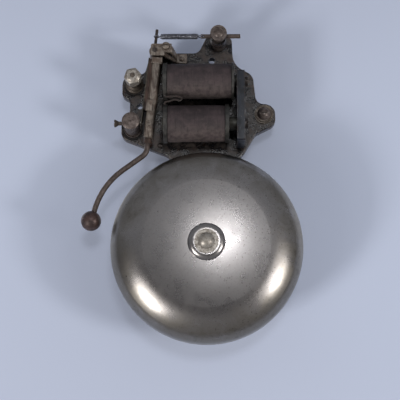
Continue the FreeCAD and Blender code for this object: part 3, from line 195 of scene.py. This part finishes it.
class Finish:
    """One procedural material in the object's own coordinates. Its methods add nodes and return outputs."""

    def __init__(self, name):
        self.material = bpy.data.materials.new(name)
        self.material.use_nodes = True
        self.tree = self.material.node_tree
        self.shader = self.tree.nodes["Principled BSDF"]
        self.place = self.node("ShaderNodeTexCoord").outputs["Object"]

    def node(self, kind, inputs=(), **settings):
        made = self.tree.nodes.new(kind)
        for key, value in settings.items():
            setattr(made, key, value)
        for key, value in dict(inputs).items():
            self.put(made.inputs[key], value)
        return made

    def put(self, socket, value):
        if isinstance(value, bpy.types.NodeSocket):
            self.tree.links.new(value, socket)
        else:
            socket.default_value = value

    def noise(self, size, detail=3.0, rough=0.55, warp=0.0, place=None):
        """Noise whose patches are about size millimetres across."""
        inputs = {"Vector": place or self.place, "Scale": 1 / (size * MM), "Detail": detail,
                  "Roughness": rough, "Distortion": warp}
        return self.node("ShaderNodeTexNoise", inputs).outputs[0]

    def cells(self, size):
        """Distance to the nearest of points that are about size millimetres apart."""
        inputs = {"Vector": self.place, "Scale": 1 / (size * MM)}
        return self.node("ShaderNodeTexVoronoi", inputs).outputs[0]

    def levels(self, value, low, high, bottom=0.0, top=1.0):
        """Takes low to bottom and high to top, smoothly between them and level beyond them."""
        inputs = {"Value": value, "From Min": low, "From Max": high, "To Min": bottom, "To Max": top}
        return self.node("ShaderNodeMapRange", inputs, interpolation_type="SMOOTHSTEP").outputs[0]

    def math(self, operation, first, second=0.0):
        return self.node("ShaderNodeMath", {0: first, 1: second}, operation=operation).outputs[0]

    def mix(self, factor, first, second):
        made = self.node("ShaderNodeMix", {0: factor, 6: first, 7: second}, data_type="RGBA")
        return made.outputs[2]

    def stretched(self, x, y, z, turn=0.0):
        """The object's coordinates turned about Y, then scaled, so that noise made with them is drawn out."""
        rotation = (0, math.radians(turn), 0)
        turned = self.node("ShaderNodeMapping", {"Vector": self.place, "Rotation": rotation}).outputs[0]
        return self.node("ShaderNodeMapping", {"Vector": turned, "Scale": (x, y, z)}).outputs[0]

    def parts(self, place=None):
        return self.node("ShaderNodeSeparateXYZ", {0: place or self.place}).outputs

    def edges(self, radius, low=0.02, high=0.25):
        """1 along edges and corners, 0 on open faces."""
        soft = self.node("ShaderNodeBevel", {"Radius": radius * MM}, samples=4).outputs[0]
        true = self.node("ShaderNodeNewGeometry").outputs["Normal"]
        alike = self.node("ShaderNodeVectorMath", {0: soft, 1: true}, operation="DOT_PRODUCT")
        return self.levels(self.math("SUBTRACT", 1.0, alike.outputs["Value"]), low, high)

    def shade_in_hollows(self, distance):
        """1 in corners and crevices, 0 in the open: the mask by which shade is painted into those places."""
        occlusion = self.node("ShaderNodeAmbientOcclusion", {"Distance": distance * MM}, samples=4)
        return self.math("SUBTRACT", 1.0, occlusion.outputs["AO"])

    def bump(self, height, depth, onto=None):
        inputs = {"Height": height, "Strength": 1.0, "Distance": depth * MM}
        made = self.node("ShaderNodeBump", inputs)
        if onto is not None:
            self.put(made.inputs["Normal"], onto)
        return made.outputs[0]

    def finish(self, colour, roughness, normal, **sockets):
        self.put(self.shader.inputs["Base Color"], colour)
        self.put(self.shader.inputs["Roughness"], roughness)
        self.put(self.shader.inputs["Normal"], normal)
        for key, value in sockets.items():
            self.shader.inputs[key.replace("_", " ")].default_value = value
        return self.material


def japanned_iron():
    """Black stoving varnish over rough cast iron, browned by dust and worn through along the edges, with
    painted shade darkening its hollows.
    """
    f = Finish("japanned_iron")
    dust = f.levels(f.noise(9, 5, 0.65, 0.6), 0.42, 0.66)
    speckle = f.levels(f.noise(1.1, 2), 0.52, 0.72)
    worn = f.math("MULTIPLY", f.edges(0.9), f.levels(f.noise(2.6, 3), 0.40, 0.62))
    colour = f.mix(dust, srgb(24, 23, 27), srgb(78, 69, 65))
    colour = f.mix(f.math("MULTIPLY", speckle, 0.45), colour, srgb(100, 88, 79))
    colour = f.mix(f.levels(f.noise(5, 3), 0.56, 0.70, 0, 0.7), colour, srgb(52, 35, 28))
    # painted shade: corners and crevices taken towards near-black by ambient occlusion
    colour = f.mix(f.levels(f.shade_in_hollows(14), 0.15, 0.65, 0, 0.92), colour, srgb(8, 7, 6))
    colour = f.mix(worn, colour, srgb(92, 95, 108))
    skin = f.bump(f.noise(1.3, 4, 0.65), 0.22, f.bump(f.noise(6, 2), 0.40))
    return f.finish(colour, f.levels(dust, 0, 1, 0.26, 0.50), skin, Specular_IOR_Level=0.45)


# metres: the distance from the gong's axis over which its tarnish sets in and how far that wanders, the
# stretch of X over which pitting grows on its right, and the one over which its left gets dark spots
TARNISH_FROM, TARNISH_TO, TARNISH_SWAY = 0.050, 0.078, 0.04
PITTED_FROM, PITTED_TO, PITTED_SWAY = 0.012, 0.036, 0.03
SPOTTED_FROM, SPOTTED_TO = -0.030, -0.045
SCRATCHES = ((22, 0.5), (-38, 0.7), (80, 0.6))  # degrees about Y, width in millimetres


def gong_metal():
    """Satin bell metal: cloudy, tarnished olive brown towards the rim, finely pitted and scratched."""
    f = Finish("gong_metal")
    x, _, z = f.parts()
    radius = f.math("SQRT", f.math("ADD", f.math("POWER", x, 2.0), f.math("POWER", z, 2.0)))
    cloud = f.noise(16, 4, 0.6, 0.4)
    fine = f.noise(1.3, 3, 0.65)
    sway = f.math("MULTIPLY", f.math("SUBTRACT", cloud, 0.5), TARNISH_SWAY)
    rim = f.levels(f.math("ADD", radius, sway), TARNISH_FROM, TARNISH_TO)
    colour = f.mix(rim, srgb(164, 160, 159), srgb(122, 117, 107))
    colour = f.mix(f.levels(cloud, 0.36, 0.72, 0, 0.30), colour, srgb(146, 141, 139))
    colour = f.mix(f.levels(fine, 0.46, 0.80, 0, 0.40), colour, srgb(124, 117, 112))
    specks = f.levels(f.cells(2.3), 0.12, 0.30, 1, 0)
    sway = f.math("MULTIPLY", f.noise(14, 2), PITTED_SWAY)
    side = f.levels(f.math("ADD", x, sway), PITTED_FROM, PITTED_TO)
    chosen = f.math("MULTIPLY", f.levels(f.noise(3.5, 3, 0.7), 0.46, 0.60), f.math("ADD", 0.25, side))
    colour = f.mix(f.math("MINIMUM", f.math("MULTIPLY", specks, chosen), 0.45), colour, srgb(80, 72, 67))
    spots = f.levels(f.cells(11), 0.035, 0.065, 0.8, 0)
    left = f.levels(x, SPOTTED_FROM, SPOTTED_TO)
    colour = f.mix(f.math("MULTIPLY", spots, left), colour, srgb(34, 30, 28))
    stain = f.levels(f.noise(12, 4, 0.7, 1.0), 0.52, 0.74, 0, 0.5)
    colour = f.mix(f.math("MULTIPLY", stain, rim), colour, srgb(70, 64, 54))
    marks = None
    for turn, across in SCRATCHES:
        line = f.noise(across, 1, 0.5, 0.2, f.stretched(1, 1, 0.035, turn))
        line = f.levels(line, 0.72, 0.78)
        marks = line if marks is None else f.math("MAXIMUM", marks, line)
    colour = f.mix(f.math("MULTIPLY", marks, 0.30), colour, srgb(196, 193, 190))
    rough = f.math("ADD", f.levels(cloud, 0.3, 0.7, 0.26, 0.31), f.levels(rim, 0, 1, 0, 0.04))
    rough = f.math("ADD", rough, f.math("MULTIPLY", marks, -0.05))
    skin = f.bump(fine, 0.004, f.bump(f.noise(9, 2), 0.03))
    return f.finish(colour, rough, skin, Metallic=1.0)


def aged_metal(name, clean, stain, dark, light, grain, roughness, metallic,
               pits=0.02, patch=5.0, streak=0.0):
    """Metal with stained patches, upright streaks, painted shade darkening its corners and brighter edges."""
    f = Finish(name)
    patches = f.levels(f.noise(patch, 4, 0.62, 0.3), 0.40, 0.64)
    fine = f.noise(grain, 3, 0.6)
    colour = f.mix(patches, clean, stain)
    colour = f.mix(f.levels(fine, 0.52, 0.76, 0, 0.7), colour, dark)
    if streak:
        run = f.levels(f.noise(1.6, 3, 0.6, 0.3, f.stretched(1, 1, 0.10, 6)), 0.50, 0.68, 0, streak)
        colour = f.mix(run, colour, dark)
    shade_black = tuple(0.45 * part for part in dark[:3]) + (1.0,)
    # painted shade: corners and crevices darkened towards a near-black by ambient occlusion
    colour = f.mix(f.levels(f.shade_in_hollows(4), 0.15, 0.7, 0, 0.9), colour, shade_black)
    worn = f.math("MULTIPLY", f.edges(0.45), f.levels(f.noise(1.8, 2), 0.36, 0.60))
    colour = f.mix(worn, colour, light)
    rough = f.math("ADD", f.levels(patches, 0, 1, roughness, roughness + 0.14),
                   f.math("MULTIPLY", worn, -0.08))
    skin = f.bump(fine, pits, f.bump(f.noise(patch * 0.6, 2), pits * 2))
    return f.finish(colour, rough, skin, Metallic=metallic)


def blued_iron():
    """Blue-black bar with brown rust along its edges and rubbed bright corners."""
    f = Finish("blued_iron")
    patches = f.levels(f.noise(9, 4, 0.6, 0.4), 0.42, 0.62)
    colour = f.mix(patches, srgb(26, 31, 41), srgb(16, 18, 23))
    rust = f.math("MULTIPLY", f.edges(2.4, 0.005, 0.12), f.levels(f.noise(4, 4, 0.65), 0.40, 0.60))
    colour = f.mix(f.math("MULTIPLY", rust, 0.8), colour, srgb(58, 48, 42))
    spots = f.levels(f.noise(1.6, 3), 0.64, 0.72, 0, 0.8)
    colour = f.mix(spots, colour, srgb(92, 88, 86))
    worn = f.math("MULTIPLY", f.edges(0.5), f.levels(f.noise(3, 2), 0.56, 0.68))
    colour = f.mix(worn, colour, srgb(170, 170, 172))
    skin = f.bump(f.noise(0.9, 3), 0.03, f.bump(f.noise(5, 2), 0.08))
    return f.finish(colour, f.levels(patches, 0, 1, 0.28, 0.44), skin, Specular_IOR_Level=0.3)


def coil_wrap():
    """Varnished cloth tape, dusty, with its weave still showing. Its downward-facing side is painted lighter,
    as if lit from below, and its hollows are painted dark as shade.
    """
    f = Finish("coil_wrap")
    along = f.node("ShaderNodeTexWave", {"Vector": f.place, "Scale": 330, "Distortion": 0.6, "Detail": 1},
                   wave_type="BANDS", bands_direction="X").outputs[1]
    patches = f.noise(10, 4, 0.6, 0.5)
    fine = f.noise(0.8, 3, 0.65)
    _, _, height = f.parts(f.node("ShaderNodeNewGeometry").outputs["Normal"])
    # painted light: downward-facing surfaces made lighter, broken up by noise
    underside_painted_light = f.math("MULTIPLY", f.levels(height, -0.1, -0.85), f.levels(f.noise(4.0, 5, 0.7), 0.30, 0.66))
    rings = f.noise(0.9, 3, 0.6, 0.2, f.stretched(1, 0.06, 0.06))
    colour = f.mix(f.levels(patches, 0.36, 0.70), srgb(52, 44, 46), srgb(74, 63, 65))
    colour = f.mix(f.levels(f.noise(3.2, 4, 0.65), 0.54, 0.76, 0, 0.5), colour, srgb(92, 80, 79))
    colour = f.mix(f.levels(rings, 0.52, 0.72, 0, 0.5), colour, srgb(32, 27, 28))
    # painted light on the coil's underside
    colour = f.mix(f.math("MULTIPLY", underside_painted_light, 0.5), colour, srgb(108, 97, 93))
    colour = f.mix(f.levels(fine, 0.50, 0.80, 0, 0.5), colour, srgb(30, 26, 27))
    colour = f.mix(f.math("MULTIPLY", along, 0.12), colour, srgb(30, 26, 26))
    # painted shade: corners and crevices darkened towards near-black by ambient occlusion
    colour = f.mix(f.levels(f.shade_in_hollows(12), 0.15, 0.70, 0, 0.85), colour, srgb(12, 10, 10))
    weave = f.math("ADD", f.math("MULTIPLY", along, 0.35), fine)
    skin = f.bump(weave, 0.09, f.bump(f.noise(4, 3), 0.10))
    return f.finish(colour, f.levels(patches, 0.3, 0.7, 0.62, 0.82), skin, Specular_IOR_Level=0.35)


def dull_fibre(name, base, light, roughness):
    """Vulcanised fibre or varnished card, greyed by dust, paler along its edges and with painted shade in its
    hollows.
    """
    f = Finish(name)
    patches = f.levels(f.noise(4, 4, 0.6), 0.38, 0.68)
    colour = f.mix(patches, base, light)
    colour = f.mix(f.levels(f.noise(0.6, 3), 0.54, 0.78, 0, 0.6), colour, srgb(30, 26, 24))
    worn = f.math("MULTIPLY", f.edges(0.5), f.levels(f.noise(1.8, 2), 0.38, 0.6))
    colour = f.mix(f.math("MULTIPLY", worn, 0.7), colour, srgb(112, 106, 98))
    # painted shade: corners and crevices darkened towards near-black by ambient occlusion
    colour = f.mix(f.levels(f.shade_in_hollows(5), 0.15, 0.7, 0, 0.85), colour, srgb(10, 9, 8))
    skin = f.bump(f.noise(0.9, 3), 0.05)
    return f.finish(colour, roughness, skin)


def cotton_wire():
    """Brown cotton lapped round a wire."""
    f = Finish("cotton_wire")
    fine = f.noise(0.35, 3, 0.7)
    colour = f.mix(f.levels(fine, 0.35, 0.7), srgb(26, 20, 18), srgb(58, 45, 40))
    colour = f.mix(f.levels(f.noise(3, 2), 0.45, 0.7, 0, 0.6), colour, srgb(54, 36, 32))
    return f.finish(colour, 0.85, f.bump(fine, 0.06), Sheen_Weight=0.2)


def copper_wire():
    """Enamelled copper laid in close turns round the coil's axis."""
    f = Finish("copper_wire")
    turns = f.node("ShaderNodeTexWave", {"Vector": f.place, "Scale": 900}, wave_type="BANDS",
                   bands_direction="X").outputs[1]
    colour = f.mix(f.levels(f.noise(3, 3), 0.35, 0.7), srgb(150, 84, 52), srgb(96, 52, 36))
    return f.finish(colour, 0.38, f.bump(turns, 0.12), Metallic=0.8)


def stage_wall_paint():
    """Pale smooth paint. It can't be seen from behind, so that the bell's back shows."""
    f = Finish("stage_wall")
    tint = f.mix(f.levels(f.noise(420, 2), 0.3, 0.7), srgb(198, 207, 229), srgb(192, 200, 221))
    f.put(f.shader.inputs["Base Color"], tint)
    f.shader.inputs["Roughness"].default_value = 0.9
    f.shader.inputs["Specular IOR Level"].default_value = 0.2
    f.put(f.shader.inputs["Normal"], f.bump(f.noise(2.5, 3), 0.02))
    clear = f.node("ShaderNodeBsdfTransparent")
    behind = f.node("ShaderNodeNewGeometry").outputs["Backfacing"]
    both = f.node("ShaderNodeMixShader", {0: behind, 1: f.shader.outputs[0], 2: clear.outputs[0]})
    f.put(f.tree.nodes["Material Output"].inputs["Surface"], both.outputs[0])
    return f.material


PAINT = {
    "japanned_iron": japanned_iron(),
    "gong_metal": gong_metal(),
    "nickel": aged_metal("nickel", srgb(170, 164, 156), srgb(134, 126, 117), srgb(72, 63, 56),
                         srgb(204, 200, 193), 1.1, 0.40, 0.55, 0.010, 2.4),
    "dark_steel": aged_metal("dark_steel", srgb(70, 63, 60), srgb(48, 41, 38), srgb(28, 24, 22),
                             srgb(116, 110, 105), 0.8, 0.40, 0.5),
    "blued_iron": blued_iron(),
    "core_iron": aged_metal("core_iron", srgb(90, 90, 84), srgb(68, 65, 59), srgb(38, 34, 31),
                            srgb(126, 124, 118), 0.9, 0.46, 0.6),
    "bobbin_fibre": dull_fibre("bobbin_fibre", srgb(32, 32, 31), srgb(60, 58, 55), 0.50),
    "copper_wire": copper_wire(),
    "coil_wrap": coil_wrap(),
    "aged_steel": aged_metal("aged_steel", srgb(130, 121, 112), srgb(96, 83, 74), srgb(56, 41, 34),
                             srgb(172, 164, 155), 0.9, 0.40, 0.40, streak=0.8),
    "rusty_iron": aged_metal("rusty_iron", srgb(72, 52, 43), srgb(52, 38, 32), srgb(28, 22, 20),
                             srgb(98, 82, 70), 0.8, 0.60, 0.1, 0.06, streak=0.8),
    "spring_bronze": aged_metal("spring_bronze", srgb(72, 67, 58), srgb(55, 50, 44), srgb(32, 28, 25),
                                srgb(104, 98, 86), 0.9, 0.44, 0.5),
    "spring_steel": aged_metal("spring_steel", srgb(140, 142, 152), srgb(108, 108, 116), srgb(48, 45, 48),
                               srgb(204, 205, 212), 0.7, 0.28, 0.85),
    "silver_contact": aged_metal("silver_contact", srgb(186, 182, 175), srgb(150, 143, 134), srgb(78, 70, 62),
                                 srgb(214, 212, 208), 0.7, 0.32, 0.9),
    "brown_rod": aged_metal("brown_rod", srgb(92, 80, 75), srgb(70, 59, 55), srgb(40, 33, 30),
                            srgb(126, 116, 109), 0.8, 0.46, 0.30, streak=0.5),
    "ball_brass": aged_metal("ball_brass", srgb(84, 66, 63), srgb(60, 47, 46), srgb(30, 25, 24),
                             srgb(108, 92, 86), 1.2, 0.40, 0.40, 0.03, 6.0),
    "dull_brass": aged_metal("dull_brass", srgb(104, 93, 88), srgb(70, 59, 56), srgb(34, 28, 26),
                             srgb(164, 154, 145), 1.0, 0.38, 0.40, 0.03, 2.6),
    "old_brass": aged_metal("old_brass", srgb(100, 91, 82), srgb(76, 67, 60), srgb(40, 34, 30),
                            srgb(144, 136, 125), 0.9, 0.42, 0.50),
    "fibre_black": dull_fibre("fibre_black", srgb(22, 20, 20), srgb(36, 33, 32), 0.5),
    "cotton_wire": cotton_wire(),
}


# ------------------------------------------------------------------ pieces that Blender makes

def swept(name, points, radius_at, sides):
    """A tube through the points. radius_at(i, angle) gives its radius at a point and an angle round it."""
    vertices, faces = [], []
    side = None
    count = len(points)
    for i, point in enumerate(points):
        ahead = points[min(i + 1, count - 1)] - points[max(i - 1, 0)]
        ahead.normalize()
        if side is None:
            side = ahead.orthogonal().normalized()
        side = (side - ahead * side.dot(ahead)).normalized()
        up = ahead.cross(side)
        for k in range(sides):
            angle = 2 * math.pi * k / sides
            vertices.append(point + (side * math.cos(angle) + up * math.sin(angle)) * radius_at(i, angle))
    for i in range(count - 1):
        for k in range(sides):
            a, b = i * sides + k, i * sides + (k + 1) % sides
            faces.append((a, b, b + sides, a + sides))
    faces.append(tuple(range(sides - 1, -1, -1)))
    faces.append(tuple(range((count - 1) * sides, count * sides)))
    return mesh_object(name, vertices, faces)


def piece(obj, body, slot, *nodes):
    """Gives a new piece its finish, its body, if it rides on one, and the CAD nodes it stands for."""
    obj.data.materials.append(PAINT[slot])
    if body:
        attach(obj, body)
    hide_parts(*nodes)
    return obj


WRAP_COLUMNS = 128
WRAP_ROWS = 150
WRAP_THICK = 1.3 * MM
TURN = 6.28  # about a whole turn, in radians
HALF_TURN = TURN / 2
# millimetres below the CAD's surface, on average, then what each feature adds or takes away
WRAP_DEPTH = 0.50
SHALLOWEST = 0.05
LUMP = 0.26
OVERLAP = 0.26
LAYER = 0.16
RIPPLE = 0.06
LUMPS = 7
RIPPLES, RIPPLE_LOBES, RIPPLE_WANDER = 41, 3, 0.6
SEAM_FROM, SEAM_TO = 150, 175  # degrees round the coil
SEAM_LEAN, SEAM_RISE, SEAM_FADE = 0.10, 0.04, 0.9  # radians
# shares of the coil's length: where a layer ends, with the side it lies on, and how that margin strays
MARGINS = ((0.055, 1), (0.925, -1), (0.965, -1))
MARGIN_WIDTH = 0.006
MARGIN_STRAY = 0.004
MARGIN_WAVES = (2, 3, 5, 9, 14)


def coil_cloth(node, seed):
    """Cloth tape round a winding: several layers with ragged margins, an overlapped seam and soft lumps."""
    low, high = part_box(node)
    rng = random.Random(seed)
    middle = (low + high) / 2
    full = (high.z - low.z) / 2
    bore = full - WRAP_THICK
    length = high.x - low.x
    seam = math.radians(rng.uniform(SEAM_FROM, SEAM_TO))
    waves = [
        (rng.randint(1, 4), rng.uniform(1, 5), rng.uniform(0, TURN), rng.uniform(0, TURN))
        for _ in range(LUMPS)
    ]
    ragged = [(k, rng.uniform(0, TURN)) for k in MARGIN_WAVES]

    def margin(angle, start):
        return start + MARGIN_STRAY * sum(math.sin(k * angle + p) / math.sqrt(k) for k, p in ragged)

    def radius(share, angle):
        lump = sum(
            math.sin(a * angle + p) * math.sin(b * share * HALF_TURN + q) for a, b, p, q in waves
        ) / len(waves)
        after = (angle - seam - SEAM_LEAN * share) % (2 * math.pi)
        overlap = math.exp(-after / SEAM_FADE) * min(1, after / SEAM_RISE)
        depth = WRAP_DEPTH - LUMP * lump - OVERLAP * overlap
        for start, side in MARGINS:
            edge = (share - margin(angle, start)) * side
            depth += LAYER * (1 - min(1, max(0, edge / MARGIN_WIDTH + 0.5)))
        wander = RIPPLE_WANDER * math.sin(RIPPLE_LOBES * angle)
        depth -= RIPPLE * math.sin(share * RIPPLES + wander) * math.sin(share * HALF_TURN)
        return full - max(SHALLOWEST, depth) * MM

    vertices, faces = [], []
    shares = [0.0] + [i / (WRAP_ROWS - 1) for i in range(WRAP_ROWS)] + [1.0]
    rings = len(shares)
    for i, share in enumerate(shares):
        for k in range(WRAP_COLUMNS):
            angle = 2 * math.pi * k / WRAP_COLUMNS
            reach = bore if i in (0, rings - 1) else radius(share, angle)
            vertices.append((low.x + share * length, middle.y + reach * math.cos(angle),
                             middle.z + reach * math.sin(angle)))
    for i in range(rings):
        here, there = i * WRAP_COLUMNS, (i + 1) % rings * WRAP_COLUMNS
        for k in range(WRAP_COLUMNS):
            beside = (k + 1) % WRAP_COLUMNS
            faces.append((here + k, there + k, there + beside, here + beside))
    return piece(mesh_object(node + "_cloth", vertices, faces), "frame", "coil_wrap", node)


SPRING_AXIS_Y = -26.0 * MM
SPRING_AXIS_Z = 177.3 * MM
SPRING_LEFT = -38.4 * MM
SPRING_RIGHT = -6.8 * MM
SPRING_MIDDLE = (SPRING_LEFT + SPRING_RIGHT) / 2
SPRING_WIRE = 0.48 * MM
SPRING_COIL = 1.97 * MM
SPRING_TURNS = 14
SPRING_STEPS = 26
EYE_R = 2.1 * MM
EYE_STEPS = 18
EYE_START, EYE_SWEEP = 40, 320  # degrees
PIN_X = -41.3 * MM
ROD_EYE_X = -5.2 * MM
RUN_IN = 0.6  # turns over which the coil opens to its full radius
WIRE_SIDES = 10


def spring_half(name, start_x, end_x, eye_x, body):
    """Half of the return spring: an eye, a short straight wire and closely wound turns up to the middle."""
    way = 1 if end_x > start_x else -1
    points = []
    for i in range(EYE_STEPS + 1):
        angle = math.radians(EYE_START + EYE_SWEEP * i / EYE_STEPS)
        points.append(Vector((eye_x + way * EYE_R * math.cos(angle),
                              SPRING_AXIS_Y - EYE_R * math.sin(angle) * way, SPRING_AXIS_Z)))
    total = SPRING_TURNS * SPRING_STEPS
    for i in range(total + 1):
        turn = i / SPRING_STEPS
        grow = min(1.0, turn / RUN_IN)
        angle = 2 * math.pi * turn
        x = start_x + (end_x - start_x) * i / total
        points.append(Vector((x, SPRING_AXIS_Y + SPRING_COIL * grow * math.sin(angle),
                              SPRING_AXIS_Z + SPRING_COIL * grow * math.cos(angle) * way)))
    made = swept(name, points, lambda i, angle: SPRING_WIRE, WIRE_SIDES)
    piece(made, None, "spring_steel", "return_spring")
    if body == "armature":
        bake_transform(made)
    else:
        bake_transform(made)


# corners of each lead's run: X, out from the wall, Z, in millimetres
LINK_RUN = (
    (-33.8, 34.6, 124.5), (-33.6, 36.0, 122.3), (-29.5, 36.8, 121.7), (-25.0, 36.0, 122.2),
    (-21.3, 36.6, 121.3), (-20.0, 36.4, 119.9), (-21.5, 36.2, 118.5), (-25.5, 36.8, 119.2),
    (-30.0, 36.2, 118.0), (-33.4, 36.2, 117.4), (-33.8, 35.0, 115.5),
)
SUPPLY_RUN = (
    (-35.4, 18.6, 145.6), (-38.0, 18.6, 145.6), (-40.2, 13.4, 145.2), (-43.0, 11.3, 142.6),
    (-46.8, 11.2, 140.4), (-53.1, 11.2, 140.3),
)
GROUND_RUN = (
    (-34.8, 18.0, 96.4), (-37.6, 17.4, 96.3), (-38.4, 11.4, 95.8), (-38.5, 9.1, 93.6),
    (-38.5, 9.0, 90.9),
)
LINK_R, SUPPLY_R, GROUND_R = 0.62, 0.7, 0.55  # millimetres
LEAD_STEPS = 24
LEAD_SIDES = 12
LAPPING_RIDGE = 0.09  # share of the lead's radius
LAPPING_STRANDS = 3
LAPPING_TWIST = 0.9  # radians from one step to the next


def smooth_line(points, steps):
    """Points along one smooth curve through the given ones."""
    ends = [points[0] * 2 - points[1]] + points + [points[-1] * 2 - points[-2]]
    line = []
    for a, b, c, d in zip(ends, ends[1:], ends[2:], ends[3:]):
        for i in range(steps):
            t = i / steps
            line.append(((b * 2) + (c - a) * t + (a * 2 - b * 5 + c * 4 - d) * t * t
                         + (b * 3 - a - c * 3 + d) * t * t * t) / 2)
    return line + [points[-1]]


def lead(name, node, corners, radius):
    """A wire lapped with cotton: a smooth run with the lapping's ridges round it."""
    line = smooth_line([Vector((x * MM, -out * MM, z * MM)) for x, out, z in corners], LEAD_STEPS)

    def ridge(i, angle):
        return radius * MM * (1 + LAPPING_RIDGE * math.sin(LAPPING_STRANDS * angle + i * LAPPING_TWIST))

    return piece(swept(name, line, ridge, LEAD_SIDES), "frame", "cotton_wire", node)


def paint_cad_nodes():
    for part in frame["record"]["subparts"]:
        node = frame["nodes"][part["node"]]
        if not node.material_slots:
            node.data.materials.append(None)
        for slot in node.material_slots:
            slot.material = PAINT[part["material_slot"]]


WALL_REACH = 4.0
WALL_GAP = 0.018  # metres behind the plane the bell is fixed to, because the photo's shadows fit a gap


def add_wall():
    corners = [(x * WALL_REACH, WALL_GAP, z * WALL_REACH) for x, z in ((-1, -1), (1, -1), (1, 1), (-1, 1))]
    wall = mesh_object("stage_wall", corners, [(0, 1, 2, 3)], False)
    wall.data.materials.append(stage_wall_paint())
    wall.visible_shadow = False


add_camera()
add_lights()
add_world()
bpy.context.scene.view_settings.view_transform = "Standard"
paint_cad_nodes()
add_wall()
coil_cloth("upper_coil_wrap", 5)
coil_cloth("lower_coil_wrap", 12)
spring_half("return_spring_left", SPRING_LEFT, SPRING_MIDDLE, PIN_X, "armature")
spring_half("return_spring_right", SPRING_RIGHT, SPRING_MIDDLE, ROD_EYE_X, "tension_rod")
lead("coil_link_cotton", "coil_link_wire", LINK_RUN, LINK_R)
lead("supply_lead_cotton", "supply_lead", SUPPLY_RUN, SUPPLY_R)
lead("ground_lead_cotton", "ground_lead", GROUND_RUN, GROUND_R)
